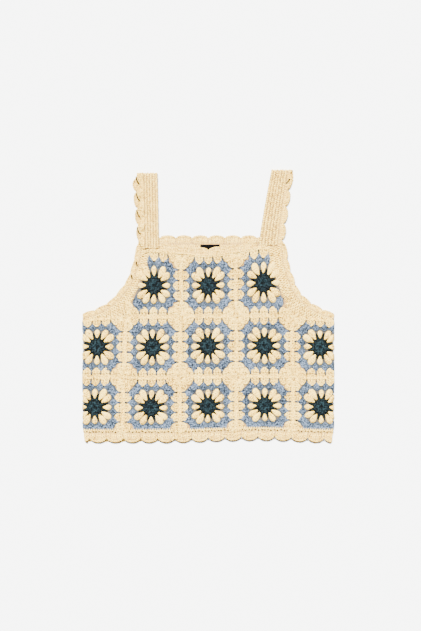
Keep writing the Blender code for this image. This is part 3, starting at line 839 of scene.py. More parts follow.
class Spots:
    """Where the stitches of one piece go: foot, direction, stretch and kind of each."""

    def __init__(self) -> None:
        """Start with no stitch."""
        self.kinds: list[Stitch] = []
        self.rows: list[tuple[float, ...]] = []

    def add(self, stitch: Stitch, foot: Sequence[float], head: Sequence[float],
            width: float = 1.0, out: float = 0.0) -> None:
        """Set one stitch from its foot to its head.

        Args:
            stitch: The stitch.
            foot: Where its own y is 0.
            head: Where its own y is its length.
            width: How much wider than its table it is.
            out: How far out of the cloth's middle it stands.
        """
        if stitch not in self.kinds:
            self.kinds.append(stitch)
        along, up = head[0] - foot[0], head[1] - foot[1]
        turn = math.atan2(-along, up)
        stretch = math.hypot(along, up) / stitch.length
        self.rows.append((foot[0], foot[1], out, turn, width, stretch, 1.0,
                          self.kinds.index(stitch)))

    def keep(self, inside: Callable[[Array, Array], Array]) -> None:
        """Keep only the stitches whose middle is inside."""
        rows = np.array(self.rows)
        lengths = np.array([stitch.length for stitch in self.kinds])[rows[:, 7].astype(int)]
        middle = lengths * rows[:, 5] / 2
        x = rows[:, 0] - np.sin(rows[:, 3]) * middle
        y = rows[:, 1] + np.cos(rows[:, 3]) * middle
        self.rows = [tuple(row) for row in rows[inside(x, y)]]


@dataclass(frozen=True)
class Yarn:
    """How a piece's yarn is spun: radius, facets round it, and how uneven the hand is."""

    radius: float
    seed: int
    sides: int = 4
    sway: float = 0.07

    def tree(self, stitches: Sequence[Stitch]) -> tuple[bpy.types.NodeTree, dict[str, str]]:
        """The tree that spins the strands and sets the stitches on their spots.

        Args:
            stitches: The stitches that the spots' kinds count.

        Returns:
            The tree, and its inputs' identifiers by name.
        """
        tree = bpy.data.node_groups.new("set_stitches", "GeometryNodeTree")
        graph = Graph(tree)
        face = tree.interface
        names = {}
        sizes = (("Spots", "Geometry"), ("Yarn Radius", "Float"), ("Facets", "Int"),
                 ("Sway", "Float"), ("Seed", "Int"), ("Finish", "Material"))
        outlines = tuple((f"Stitch {i}", "Object") for i in range(len(stitches)))
        for name, kind in (*sizes, *outlines):
            made = face.new_socket(name=name, in_out="INPUT", socket_type=f"NodeSocket{kind}")
            names[name] = made.identifier
        face.new_socket(name="Stitches", in_out="OUTPUT", socket_type="NodeSocketGeometry")
        entry = graph.add("NodeGroupInput", {}, {})
        given = {name: Wire(graph, entry.outputs[name]) for name in names}

        circle = graph.node("GeometryNodeCurvePrimitiveCircle", {},
                            {"Resolution": given["Facets"], "Radius": given["Yarn Radius"]})
        around = graph.node("GeometryNodeSplineParameter", {}, {}, "Factor") * math.tau
        profile, ring = self.captured(graph, circle, around)
        seed, sway = given["Seed"], given["Sway"]
        turn = self.attribute(graph, "turn", "FLOAT") + self.random(graph, seed, 0.0 - sway, sway)
        swell = self.random(graph, seed + 1, 1.0 - sway, 1.0 + sway)
        scale = graph.node("ShaderNodeVectorMath", {"operation": "SCALE"}, {
            "Vector": self.attribute(graph, "stretch", "FLOAT_VECTOR"), "Scale": swell})
        rotation = graph.node("ShaderNodeCombineXYZ", {}, {"Z": turn})
        kind = self.attribute(graph, "kind", "INT")
        joined = graph.add("GeometryNodeJoinGeometry", {}, {})
        for i, (name, _) in enumerate(outlines):
            chosen = graph.node("FunctionNodeCompare", {"data_type": "INT", "operation": "EQUAL"},
                                {"A": kind, "B": i})
            placed = graph.node("GeometryNodeInstanceOnPoints", {}, {
                "Points": given["Spots"], "Selection": chosen,
                "Instance": self.spun(graph, given[name], profile, ring),
                "Rotation": rotation, "Scale": scale})
            graph.connect(joined.inputs[0], placed)
        tinted = graph.node("GeometryNodeStoreNamedAttribute",
                            {"data_type": "FLOAT", "domain": "INSTANCE"}, {
                                "Geometry": Wire(graph, joined.outputs[0]), "Name": "tint",
                                "Value": self.random(graph, seed + 2, 0.0, 1.0)})
        real = graph.node("GeometryNodeRealizeInstances", {}, {"Geometry": tinted})
        soft = graph.node("GeometryNodeSetShadeSmooth", {}, {"Geometry": real})
        finished = graph.node("GeometryNodeSetMaterial", {},
                              {"Geometry": soft, "Material": given["Finish"]})
        graph.add("NodeGroupOutput", {}, {"Stitches": finished})
        return tree, names

    def spun(self, graph: Graph, outline: Wire, profile: Wire, ring: Wire) -> Wire:
        """Spin yarn along a stitch's strands.

        Args:
            graph: The tree.
            outline: The object that holds the strands' lines.
            profile: The yarn's round section.
            ring: The angle round the section.

        Returns:
            The strands, which know where they are round the yarn and along it.
        """
        lines = graph.node("GeometryNodeObjectInfo", {}, {"Object": outline}, "Geometry")
        curve = graph.node("GeometryNodeMeshToCurve", {}, {"Mesh": lines})
        along = graph.node("GeometryNodeSplineParameter", {}, {}, "Length")
        curve, length = self.captured(graph, curve, along)
        strand = graph.node("GeometryNodeCurveToMesh", {}, {
            "Curve": curve, "Profile Curve": profile, "Fill Caps": True,
            "Scale": self.attribute(graph, "thick", "FLOAT")})
        ply = graph.node("ShaderNodeCombineXYZ", {}, {
            "X": ring.apply("COSINE"), "Y": ring.apply("SINE"), "Z": length})
        return graph.node("GeometryNodeStoreNamedAttribute",
                          {"data_type": "FLOAT_VECTOR", "domain": "POINT"},
                          {"Geometry": strand, "Name": "ply", "Value": ply})

    @staticmethod
    def attribute(graph: Graph, name: str, kind: str) -> Wire:
        """A named attribute of the spots or strands."""
        return graph.node("GeometryNodeInputNamedAttribute", {"data_type": kind}, {"Name": name})

    @staticmethod
    def random(graph: Graph, seed: Wire, low: object, high: object) -> Wire:
        """A random number for each stitch."""
        return graph.node("FunctionNodeRandomValue", {"data_type": "FLOAT"},
                          {"Min": low, "Max": high, "Seed": seed})

    @staticmethod
    def captured(graph: Graph, curve: Wire, value: Wire) -> tuple[Wire, Wire]:
        """A curve with a value kept on its points, and that value."""
        node = graph.tree.nodes.new("GeometryNodeCaptureAttribute")
        node.capture_items.new("FLOAT", "Kept")
        graph.connect(node.inputs["Geometry"], curve)
        graph.connect(node.inputs["Kept"], value)
        return Wire(graph, node.outputs["Geometry"]), Wire(graph, node.outputs["Kept"])

    def work(self, name: str, spots: Spots, finish: Cotton, lay: Lay) -> bpy.types.Object:
        """Work a piece's stitches in flat cloth and lay them down.

        Args:
            name: The piece's name.
            spots: Where its stitches go.
            finish: Its yarn.
            lay: Takes cloth places to places on the floor, both in millimetres.

        Returns:
            The finished piece, one plain mesh.
        """
        rows = np.array(spots.rows)
        cloud = bpy.data.meshes.new(f"{name}_spots")
        cloud.from_pydata(rows[:, :3].tolist(), [], [])
        mark(cloud, "turn", rows[:, 3])
        mark(cloud, "stretch", rows[:, 4:7])
        mark(cloud, "kind", rows[:, 7].astype(np.int32))
        host = linked(name, cloud)
        outlines = [stitch.outline() for stitch in spots.kinds]
        tree, names = self.tree(spots.kinds)
        modifier = host.modifiers.new("stitches", "NODES")
        modifier.node_group = tree
        values = {"Yarn Radius": self.radius, "Facets": self.sides, "Sway": self.sway,
                  "Seed": self.seed, "Finish": finish.material()}
        values.update({f"Stitch {i}": outline for i, outline in enumerate(outlines)})
        for key, value in values.items():
            modifier[names[key]] = value
        deps = bpy.context.evaluated_depsgraph_get()
        mesh = bpy.data.meshes.new_from_object(host.evaluated_get(deps), depsgraph=deps)
        for used in (host, *outlines):
            bpy.data.objects.remove(used)
        bpy.data.node_groups.remove(tree)
        return settled(name, mesh, lay, finish.slot)


def settled(name: str, mesh: bpy.types.Mesh, lay: Lay, slot: str) -> bpy.types.Object:
    """Lay a mesh made in cloth millimetres on the floor and make it a piece.

    Args:
        name: The piece's name.
        mesh: The mesh; its own places are changed.
        lay: Takes cloth places to places on the floor.
        slot: Not used.

    Returns:
        The piece, riding on the garment.
    """
    places = np.empty(len(mesh.vertices) * 3)
    mesh.vertices.foreach_get("co", places)
    laid = lay(places.reshape(-1, 3)) * MM
    mesh.vertices.foreach_set("co", laid.ravel())
    corners = np.empty(len(mesh.loops), np.int32)
    mesh.loops.foreach_get("vertex_index", corners)
    flat = (laid[:, :2] + BAKE_REACH) / (2 * BAKE_REACH)
    mesh.uv_layers.new(name="OFBake").uv.foreach_set("vector", flat[corners].ravel())
    mesh.update()
    mesh.name = name
    piece = linked(name, mesh)
    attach(piece, "root")
    log.info("%s: %d faces", name, len(mesh.polygons))
    return piece


# --- Squares ------------------------------------------------------------------------------------
def lay_squares(points: Array) -> Array:
    """Take stitches of nominal squares, spaced out on the bench, to the floor."""
    column, row = np.rint(points[:, :2].T / CELL).astype(int)
    x, y = points[:, 0] - column * CELL, points[:, 1] - row * CELL
    across, up = CUT.square_to_cloth(column, row, x, y)
    return CUT.lay_body(stacked(across, up, points[:, 2]))


@dataclass(frozen=True)
class Side:
    """One side of a square on the bench, where stitches are set as if on the upper side."""

    spots: Spots
    centre: Spot
    row: int
    turns: int

    @property
    def hem(self) -> bool:
        """Whether the side meets the hem."""
        return self.row == LOW and self.turns == 2

    def set(self, stitch: Stitch, foot: Spot, head: Spot, width: float, out: float = 0.0) -> None:
        """Set a stitch.

        Args:
            stitch: The stitch.
            foot: The stitch's foot from the square's centre, on the upper side.
            head: Its head.
            width: How much wider than its table it is.
            out: How far it stands out.
        """
        ends = []
        for x, y in (foot, head):
            for _ in range(self.turns):
                x, y = -y, x
            ends.append((self.centre[0] + x, self.centre[1] + y))
        self.spots.add(stitch, *ends, width, out)


class Ray(NamedTuple):
    """A stitch that points away from a square's centre."""

    degrees: float
    root: float
    end: float
    width: float = 1.0


class CornerStitch(NamedTuple):
    """A stitch beside a square's corner: how far along its foot and head are, and its root."""

    stitch: Stitch
    foot: float
    head: float
    root: float
    width: float


@dataclass
class GrannySquares:
    """The squares of one layer, worked round by round."""

    layer: Layer
    columns: Sequence[tuple[int, int]]
    rays: int = 12
    teal_root: float = 1.7
    teal_level: float = -0.2
    ray_long: float = 22.3
    ray_short: float = 17.0
    puff_root: float = 15.1
    puff_end: float = 28.9
    puff_width: float = 0.9
    corner_puff_end: float = 34.0
    corner_puff_width: float = 1.1
    corner_turn: float = 3.0
    blue_root: float = 27.4
    blue_end: float = 42.0
    blue_step: float = 8.33
    blue_lean: float = 0.9
    blue_width: float = 0.84
    flank: tuple[float, float] = (18.5, 25.4)
    flank_rise: float = 0.5
    flank_width: float = 0.95
    corner_root: float = 24.0
    corner_tip: float = 33.5
    low_corner_tip: float = 32.2
    corner_width: float = 1.15
    spike_root: float = 40.8
    spike_end: float = 46.8
    spike_steps: tuple[float, ...] = (-3.0, -1.0, 1.0, 3.0)
    fan_root: float = 37.2
    fan_end: float = 49.6
    fan_width: float = 1.02
    fan_steps: tuple[float, ...] = (-16.67, 0.0, 16.67)
    beside_corner: tuple[CornerStitch, ...] = (
        CornerStitch(FAN, 33.4, 35.5, 38.2, 1.05), CornerStitch(POST, 39.6, 44.5, 38.4, 1.3))
    beside_hem: tuple[CornerStitch, ...] = (
        CornerStitch(FAN, 33.4, 33.4, 38.4, 1.08), CornerStitch(POST, 43.0, 43.0, 38.4, 1.3))
    corner_post: tuple[float, float] = (37.4, 48.5)
    post_width: float = 1.3
    chains: int = 24
    chain_width: float = 0.8
    hem_blue: tuple[float, float] = (27.0, 37.8)
    hem_rows: tuple[float, ...] = (35.0, 37.7)
    hem_stitches: int = 16
    hem_stitch: float = 4.1
    # Painted shadow strands that stand for the row of holes above the hem.
    hem_hole_shadows: tuple[float, ...] = (-36.5, -30.8, -24.2, -19.5, -13.0, -7.4, -1.6, 3.1, 9.6, 15.0,
                                    21.4, 26.2, 32.9, 38.0)
    hole_depth: float = 43.4
    hole_drifts: tuple[float, ...] = (0.9, -0.7, 0.3, -0.2)
    hole_length: float = 2.0
    hole_width: float = 0.9
    hole_level: float = 1.5

    def sides(self, spots: Spots) -> Iterable[Side]:
        """Every side of every square, from the upper one round to the left."""
        for column, row in self.columns:
            for turns in range(4):
                yield Side(spots, (column * CELL, row * CELL), row, turns)

    def keep_cloth(self, spots: Spots, reach: tuple[float, float]) -> None:
        """Drop what the armholes cut off the front's top squares.

        Args:
            spots: The stitches, on the bench.
            reach: How far past the cut a stitch's middle may lie, above and below the centre.
        """
        def inside(x: Array, y: Array) -> Array:
            """Whether bench places are on the cloth."""
            column, row = np.rint(x / CELL).astype(int), np.rint(y / CELL).astype(int)
            local_y = y - row * CELL
            across, up = CUT.square_to_cloth(column, row, x - column * CELL, local_y)
            cut = CUT.armhole_cut(up) + np.where(local_y > 0, *reach)
            return (row != TOP) | (abs(across) < cut)

        if self.layer is Layer.FRONT:
            spots.keep(inside)

    def rayed(self, stitch: Stitch, rays: Sequence[Ray], out: float = 0.0) -> Spots:
        """Stitches that point away from each square's centre.

        Args:
            stitch: The stitch.
            rays: Where each one lies.
            out: How far out of the cloth's middle they stand.

        Returns:
            The stitches of every square.
        """
        spots = Spots()
        for column, row in self.columns:
            x, y = column * CELL, row * CELL
            for ray in rays:
                across, up = (turn(math.radians(ray.degrees)) for turn in (math.cos, math.sin))
                foot, head = ((x + across * far, y + up * far) for far in (ray.root, ray.end))
                spots.add(stitch, foot, head, ray.width, out)
        return spots

    def centres(self) -> Spots:
        """The teal middle: a dozen wedges whose tips reach out between the puffs."""
        ends = self.ray_long, self.ray_short, self.ray_long
        return self.rayed(WEDGE, [Ray(15 + 30 * i, self.teal_root, ends[i % 3])
                                  for i in range(self.rays)], self.teal_level)

    def puffs(self) -> Spots:
        """The cream puffs: one on each axis and a pair to each corner.

        Returns:
            The stitches.
        """
        kinds = ((0.0, self.puff_end, self.puff_width),
                 (self.corner_turn, self.corner_puff_end, self.corner_puff_width),
                 (-self.corner_turn, self.corner_puff_end, self.corner_puff_width))
        rays = []
        for i in range(self.rays):
            turn, end, width = kinds[i % 3]
            rays.append(Ray(30 * i + turn, self.puff_root, end, width))
        return self.rayed(PUFF, rays)

    def diamonds(self) -> Spots:
        """The blue clusters: two to a side, and three that fill each corner.

        Returns:
            The stitches.
        """
        spots = Spots()
        for side in self.sides(spots):
            root, end = self.hem_blue if side.hem else (self.blue_root, self.blue_end)
            for step in (-self.blue_step, self.blue_step):
                side.set(DIAMOND, (step * self.blue_lean, root), (step, end), self.blue_width)
            for hand in (-1, 1):
                foot, head = (hand * across for across in self.flank)
                side.set(DIAMOND, (foot, root + self.flank_rise), (head, end), self.flank_width)
            low = side.row == LOW and side.turns in (1, 2)
            tip = self.low_corner_tip if low else self.corner_tip
            side.set(DIAMOND, (self.corner_root, self.corner_root), (tip, tip), self.corner_width)
            if not side.hem:
                for step in self.spike_steps:
                    at = step * self.blue_step
                    side.set(SPIKE, (at, self.spike_root), (at, self.spike_end), 1.0)
                continue
            for depth in self.hem_rows:
                for i in range(self.hem_stitches):
                    at = (i - self.hem_stitches / 2) * self.hem_stitch
                    side.set(VEE, (at, depth), (at + self.hem_stitch, depth), 1.0)
        return spots

    def fans(self) -> Spots:
        """The cream clusters of the last round and the chain along each seam.

        Returns:
            The stitches.
        """
        spots = Spots()
        for side in self.sides(spots):
            if side.hem:
                # By the hem, painted shadow strands stand for the holes.
                for i, hole in enumerate(self.hem_hole_shadows):
                    depth = self.hole_depth + self.hole_drifts[i % len(self.hole_drifts)]
                    side.set(EDGE_SHADOW, (hole, depth), (hole + self.hole_length, depth),
                             self.hole_width, self.hole_level)
                continue
            for step in self.fan_steps:
                side.set(FAN, (step, self.fan_root), (step, self.fan_end), self.fan_width)
            for hand in (-1, 1):
                by_hem = side.row == LOW and (side.turns, hand) in ((1, 1), (3, -1))
                for stitch, foot, head, root, width in (self.beside_hem if by_hem
                                                        else self.beside_corner):
                    side.set(stitch, (hand * foot, root), (hand * head, self.fan_end), width)
            if side.turns < 2:
                for i in range(self.chains):
                    at = (i - self.chains / 2) * SQUARE / self.chains
                    side.set(VEE, (at, SQUARE / 2), (at + SQUARE / self.chains, SQUARE / 2),
                             self.chain_width)
            if side.row != LOW or side.turns not in (1, 2):
                foot, head = ((along, along) for along in self.corner_post)
                side.set(POST, foot, head, self.post_width)
        return spots

    def build(self) -> list[bpy.types.Object]:
        """Work every round.

        Returns:
            The layer's pieces.
        """
        pieces = []
        rounds = (
            ("teal_centres", self.centres(), TEAL, 0.95, 4, (2.0, 2.0)),
            ("cream_puffs", self.puffs(), CREAM, 1.05, 5, (4.0, 4.0)),
            ("blue_clusters", self.diamonds(), BLUE, 0.90, 4, (-4.0, -6.0)),
            ("cream_clusters", self.fans(), CREAM, 1.06, 4, (-1.0, -1.0)),
        )
        for i, (name, spots, finish, radius, facets, reach) in enumerate(rounds):
            self.keep_cloth(spots, reach)
            yarn = Yarn(radius, 10 * i + (self.layer is Layer.BACK), facets)
            pieces.append(yarn.work(f"{self.layer.value}_{name}", spots, finish, lay_squares))
        return pieces


# --- Armholes -----------------------------------------------------------------------------------
class Armhole(NamedTuple):
    """One height of an armhole's lowest row, and its distance out on each side."""

    up: float
    left: float
    right: float


ARMHOLE = (
    Armhole(CUT.back_seam, 118.5, 129.5), Armhole(CUT.front_seam, 119.5, 130.0),
    Armhole(86.0, 121.8, 131.5), Armhole(62.0, 128.5, 136.0), Armhole(42.0, 136.5, 143.0),
    Armhole(21.0, 151.5, 152.0), Armhole(1.0, 170.7, 172.5), Armhole(-14.5, 198.5, 201.0),
    Armhole(-21.5, CUT.fold_start, CUT.fold_start),
)


class ArmholePath:
    """An armhole's lowest row from the back seam to the side fold, as if on the right."""

    steps = 16
    end_turn = 30.0

    def __init__(self, side: int) -> None:
        """Draw the smooth curve through one side's places.

        Args:
            side: -1 for the left armhole, 1 for the right.
        """
        self.side = side
        rows = np.array([(row.right if side > 0 else row.left, row.up) for row in ARMHOLE])
        keys = np.vstack([rows[:1], rows, rows[-1:]])
        share = (np.arange(self.steps) / self.steps)[:, None]
        runs = []
        for a, b, c, d in zip(keys, keys[1:], keys[2:], keys[3:]):
            runs.append(0.5 * (2 * b + (c - a) * share + (2 * a - 5 * b + 4 * c - d) * share**2
                               + (3 * b - a - 3 * c + d) * share**3))
        self.points = np.vstack([*runs, rows[-1:]])
        hops = np.hypot(*np.diff(self.points, axis=0).T)
        self.lengths = np.concatenate([[0.0], np.cumsum(hops)])
        self.length = float(self.lengths[-1])

    def point(self, distance: Array) -> Array:
        """Points at distances along the armhole; past its end, on the side fold."""
        distance = np.asarray(distance, float)
        x = np.interp(distance, self.lengths, self.points[:, 0])
        y = np.interp(distance, self.lengths, self.points[:, 1])
        return stacked(x + np.maximum(distance - self.length, 0.0), y)

    def normal(self, distance: Array, start: float) -> Array:
        """Directions out of the cloth: level at the strap seam, straight up at the fold.

        Args:
            distance: Distances along the armhole.
            start: The distance at which they begin to turn.

        Returns:
            Across and up of each.
        """
        distance = np.asarray(distance, float)
        first, second = self.point(np.maximum(distance - 1, 0)), self.point(distance + 1)
        across = (first[..., 1] - second[..., 1]) * smooth((self.length - distance) / self.end_turn)
        up = (second[..., 0] - first[..., 0]) * smooth((distance - start) / self.end_turn)
        size = np.hypot(across, up)
        return stacked(across / size, up / size)

    def distance_at(self, up: float) -> float:
        """The distance along the armhole at which it passes a height."""
        return float(np.interp(-up, -self.points[:, 1], self.lengths))

    def reach_at(self, up: Array) -> Array:
        """The distance across of the armhole at heights."""
        return np.interp(-np.asarray(up), -self.points[:, 1], self.points[:, 0])

    def turned(self, place: Sequence[float], layer: Layer) -> Spot:
        """Take a right front place to this side and a layer."""
        across = place[0] if layer is Layer.FRONT else 2 * CUT.side_line - place[0]
        return self.side * across, place[1]


@dataclass
class ArmholeRows:
    """The rows between the squares and an armhole."""

    path: ArmholePath
    layer: Layer
    rows: int = 12
    row_depth: float = 4.5
    stitch_width: float = 4.1
    seam_gap: float = 1.0
    front_overlap: float = 3.5
    overlap: float = 0.5
    width: float = 1.1

    def spots(self) -> Spots:
        """One stitch at a time, row by row, inwards from the armhole.

        Returns:
            The stitches.
        """
        spots = Spots()
        front = self.layer is Layer.FRONT
        seam = CUT.front_seam if front else CUT.back_seam
        start = self.path.distance_at(seam - self.seam_gap)
        end = self.path.length + CUT.fold_length / 2
        for row in range(self.rows):
            shift = (row % 2) * self.stitch_width / 2
            for i in range(int((end - start) / self.stitch_width)):
                distance = start + shift + i * self.stitch_width
                normal = self.path.normal(distance, start - self.path.end_turn)
                foot = self.path.point(distance) - normal * (row + 1) * self.row_depth
                head = foot + normal * self.row_depth
                inner = CUT.armhole_cut(foot[1]) if front else CUT.pitch
                if foot[1] > ROWS[MID].top:
                    hidden = foot[0] < inner - (self.front_overlap if front else self.overlap)
                else:
                    edge = CUT.side_top(foot[0]) - self.overlap
                    hidden = foot[0] < inner or foot[1] < edge
                if not hidden:
                    spots.add(VEE, self.path.turned(foot, self.layer),
                              self.path.turned(head, self.layer), self.width)
        return spots

    def build(self, name: str) -> bpy.types.Object:
        """Work the rows as one piece."""
        return Yarn(0.98, seed=31).work(name, self.spots(), CREAM, CUT.lay_body)


# --- Shell edgings ------------------------------------------------------------------------------
@dataclass(frozen=True)
class Stretch:
    """A stretch of edging: a shell's width, its first and last phase, and where it lies.

    Phases count shells. The placing takes a length along the base and a reach to the cloth.
    """

    pitch: float
    first: float
    last: float
    placing: Placing

    def place(self, phase: float, reach: float) -> Spot:
        """The cloth place at a phase and a reach."""
        return self.placing(phase * self.pitch, reach)


@dataclass(frozen=True)
class Shells:
    """The shells of an edging: how many, and how far they reach at valleys and tips."""

    count: int
    valley: float
    tip: float
    posts: int = 8
    post_foot: float = -0.8
    post_short: float = 1.4
    post_width: float = 0.98
    root_share: float = 0.46
    top_share: float = 0.97
    rim: int = 8
    rim_share: float = 0.96
    rim_short: float = 1.3
    rim_width: float = 0.8
    rim_rise: float = 0.2
    level: float = -0.4
    curl: float = 0.0
    curled: int = 5
    curl_share: float = 0.62
    web_steps: int = 12
    web_rows: int = 5
    web_foot: float = -2.0
    web_short: float = 0.9
    web_level: float = 0.25
    web_thickness: float = 0.3

    def reach(self, phase: Array) -> Array:
        """How far the shells reach at phases counted in shells."""
        bow = 2 * (np.asarray(phase) % 1.0) - 1
        return self.valley + (self.tip - self.valley) * np.sqrt(np.maximum(1 - bow * bow, 0))

    def out(self, shell: int, share: float) -> float:
        """How far out a shell's stitches stand at a share of its width, with its lifted edge."""
        lift = math.sin(math.pi * min(share / self.curl_share, 1.0)) * (shell < self.curled)
        return self.level + self.curl * lift

    def work(self, spots: Spots, stretch: Stretch) -> None:
        """Work the shells of a stretch.

        Args:
            spots: Takes the stitches.
            stretch: Where they go.
        """
        first, last = stretch.first, stretch.last
        for shell in range(math.floor(first), math.ceil(last)):
            for i in range(self.posts):
                share = (i + 0.5) / self.posts
                if not first <= shell + share <= last:
                    continue
                top = shell + 0.5 + (share - 0.5) * self.top_share
                root = shell + 0.5 + (share - 0.5) * self.root_share * 2
                foot = stretch.place(root, self.post_foot)
                head = stretch.place(top, float(self.reach(top)) - self.post_short)
                spots.add(POST, foot, head, self.post_width, self.out(shell, share))
            start = shell + (1 - self.rim_share) / 2
            for i in range(self.rim):
                phases = [start + self.rim_share * (i + part) / self.rim for part in (0, 1)]
                if phases[0] < first or phases[1] > last:
                    continue
                foot, head = (stretch.place(phase, float(self.reach(phase)) - self.rim_short)
                              for phase in phases)
                out = self.out(shell, (i + 0.5) / self.rim) + self.rim_rise
                spots.add(VEE, foot, head, self.rim_width, out)

    def web(self, name: str, stretch: Stretch, lay: Lay, closed: bool = False) -> bpy.types.Object:
        """The thin cloth under the shells.

        Args:
            name: The piece's name.
            stretch: Where it goes.
            lay: Takes cloth places to places on the floor.
            closed: Whether the edging's ends join.

        Returns:
            The piece.
        """
        steps = round((stretch.last - stretch.first) * self.web_steps)
        phases = np.linspace(stretch.first, stretch.last, steps + 1)[: steps if closed else None]
        grid = np.full((len(phases), self.web_rows + 1, 3), self.web_level)
        for i, phase in enumerate(phases):
            depth = float(self.reach(phase)) - self.web_short - self.web_foot
            for j in range(self.web_rows + 1):
                grid[i, j, :2] = stretch.place(phase, self.web_foot + depth * j / self.web_rows)
        return sheet_mesh(name, grid, self.web_thickness, closed, None, PLAIN_SHADED_BACKING, lay)


def lay_inside(points: Array) -> Array:
    """Lay stitches of the back so that their face shows on its inside."""
    out = np.clip(points[:, 2], -CUT.half, CUT.half)
    return stacked(points[:, 0], points[:, 1], CUT.half + out)


class Notch(NamedTuple):
    """Painted shadow in a deep gap between two rows: its start and end, and how far it slips aside.
    """

    across: float
    top: float
    bottom: float
    slip: float


@dataclass
class Edgings:
    """Every shell edging of the garment's body."""

    hem: Shells = Shells(15, 8.0, 17.7)
    hem_drift: tuple[float, float] = (-5.5, 130.0)
    hem_peep: float = 0.6
    peep_rise: tuple[float, float] = (4.0, 19.0)
    peep_reach: float = 18.0
    # Painted shadow along the hem's edge: strands to a shell, reach past the rim, width and level.
    hem_shadow_lines: int = 7
    line_rise: float = 1.5
    line_width: float = 0.8
    line_level: float = -1.3
    hem_stitch: float = 4.2
    hem_row: tuple[float, float] = (4.6, -0.6)
    hem_width: float = 1.2
    front_neck: Shells = Shells(6, 7.0, 13.3)
    back_neck: Shells = Shells(6, 9.2, 15.6)
    back_margin: float = 0.16
    neck_stitches: int = 42
    # Painted shade in the groove under the front neck's shells: its reach, width and level.
    neck_seam: float = -1.4
    neck_seam_width: float = 0.75
    neck_seam_level: float = 1.0
    neck_rows: int = 4
    neck_row: float = 4.3
    neck_width: float = 1.1
    armhole: Shells = Shells(7, 6.0, 10.1, root_share=0.48)
    radius: float = 0.92
    # Painted shadow strands in the gaps along the left front's armhole.
    notches: tuple[Notch, ...] = (Notch(-128.2, 79.2, 73.0, 1.2), Notch(-136.6, 55.6, 49.8, 0.5),
                                  Notch(-122.0, 110.4, 104.8, 2.2))
    notch_width: float = 1.3
    notch_level: float = 2.1
    # Painted shade in the grooves where the left strap joins the front.
    seam_heights: tuple[float, ...] = (102.6, 95.2)
    seam_start: float = -113.0
    seam_stitches: int = 6
    seam_stitch: float = 4.0
    seam_width: float = 0.8
    seam_level: float = 1.2

    def build_hem(self) -> list[bpy.types.Object]:
        """The hem's shells, all round the tube, under a row of small stitches.

        Returns:
            The stitched piece and its web.
        """
        spots = Spots()
        front, base = 2 * CUT.side_line, ROWS[LOW].bottom
        pitch = front / self.hem.count

        def placing(along: float, reach: float) -> Spot:
            """From the hem's own lengths to the cloth; the back peeps out below the front."""
            behind = abs(float(CUT.wrapped(np.array([along]))[0])) - CUT.side_line
            shown = float(span_share(np.array(behind), self.peep_rise))
            peep = self.hem_peep * shown * max(reach, 0.0) / self.peep_reach
            drift, spread = self.hem_drift
            away = float(CUT.wrapped(np.array([along + CUT.side_line]))[0]) / spread
            return along + drift * math.exp(-away * away), base - reach - peep

        stretch = Stretch(pitch, 0.5, 2 * self.hem.count + 0.5, placing)
        self.hem.work(spots, stretch)
        # Painted contact shadow: dark strands just past the front's rim.
        for i in range(self.hem.count * self.hem_shadow_lines):
            phases = ((i + part) / self.hem_shadow_lines - self.hem.count / 2 for part in (0, 1))
            foot, head = (stretch.place(phase, float(self.hem.reach(phase)) + self.line_rise)
                          for phase in phases)
            spots.add(EDGE_SHADOW, foot, head, self.line_width, self.line_level)
        count = int(2 * front / self.hem_stitch)
        for i in range(count):
            across = i * 2 * front / count
            foot, head = ((across, base + up) for up in self.hem_row)
            spots.add(VEE, foot, head, self.hem_width)
        yarn = Yarn(self.radius, seed=41)
        return [yarn.work("hem_shells", spots, CREAM, CUT.lay_body),
                self.hem.web("hem_web", stretch, CUT.lay_body, closed=True)]

    def build_neck(self, layer: Layer) -> list[bpy.types.Object]:
        """The shells along a neckline between the straps.

        Args:
            layer: The layer whose neckline it is.

        Returns:
            The stitched piece and its web.
        """
        spots = Spots()
        front = layer is Layer.FRONT
        shells = self.front_neck if front else self.back_neck
        step = 2 * CUT.neck_half / self.neck_stitches

        def placing(along: float, reach: float) -> Spot:
            """From the neckline's own lengths to the cloth."""
            across = along - CUT.neck_half
            return across, (float(CUT.neckline(across)) if front else CUT.back_seam) + reach

        margin = 0.0 if front else self.back_margin
        stretch = Stretch(2 * CUT.neck_half / shells.count, -margin, shells.count + margin, placing)
        shells.work(spots, stretch)
        for row in range(1 if front else self.neck_rows):
            for i in range(self.neck_stitches):
                if front:
                    # On the front, painted shade in the groove below the shells.
                    foot, head = (placing((i + part) * step, self.neck_seam) for part in (0, 1))
                    spots.add(GROOVE_SHADOW, foot, head, self.neck_seam_width, self.neck_seam_level)
                else:
                    along = (i + 0.5 + 0.5 * (row % 2)) * step
                    foot, head = (placing(along, -self.neck_row * end) for end in (row + 1, row))
                    spots.add(VEE, foot, head, self.neck_width)
        lay = CUT.lay_body if front else lay_inside
        yarn = Yarn(self.radius, seed=43)
        return [yarn.work(f"{layer.value}_neck_shells", spots, CREAM, lay),
                shells.web(f"{layer.value}_neck_web", stretch, lay)]

    def build_armhole(self, path: ArmholePath, layer: Layer, name: str) -> list[bpy.types.Object]:
        """The shells along an armhole from the strap seam to the side line.

        Args:
            path: The armhole.
            layer: The layer that they are worked onto.
            name: The stitched piece's name.

        Returns:
            The stitched piece and its web.
        """
        spots = Spots()
        front = layer is Layer.FRONT
        start = path.distance_at(CUT.front_seam if front else CUT.back_seam)
        end = path.length + CUT.fold_length / 2

        def placing(along: float, reach: float) -> Spot:
            """From the armhole's own lengths to the cloth."""
            distance = start + along
            spot = path.point(distance) + path.normal(distance, start) * reach
            return path.turned(spot, layer)

        count = self.armhole.count
        stretch = Stretch((end - start) / count, 0.0, count, placing)
        self.armhole.work(spots, stretch)
        if front and path.side < 0:
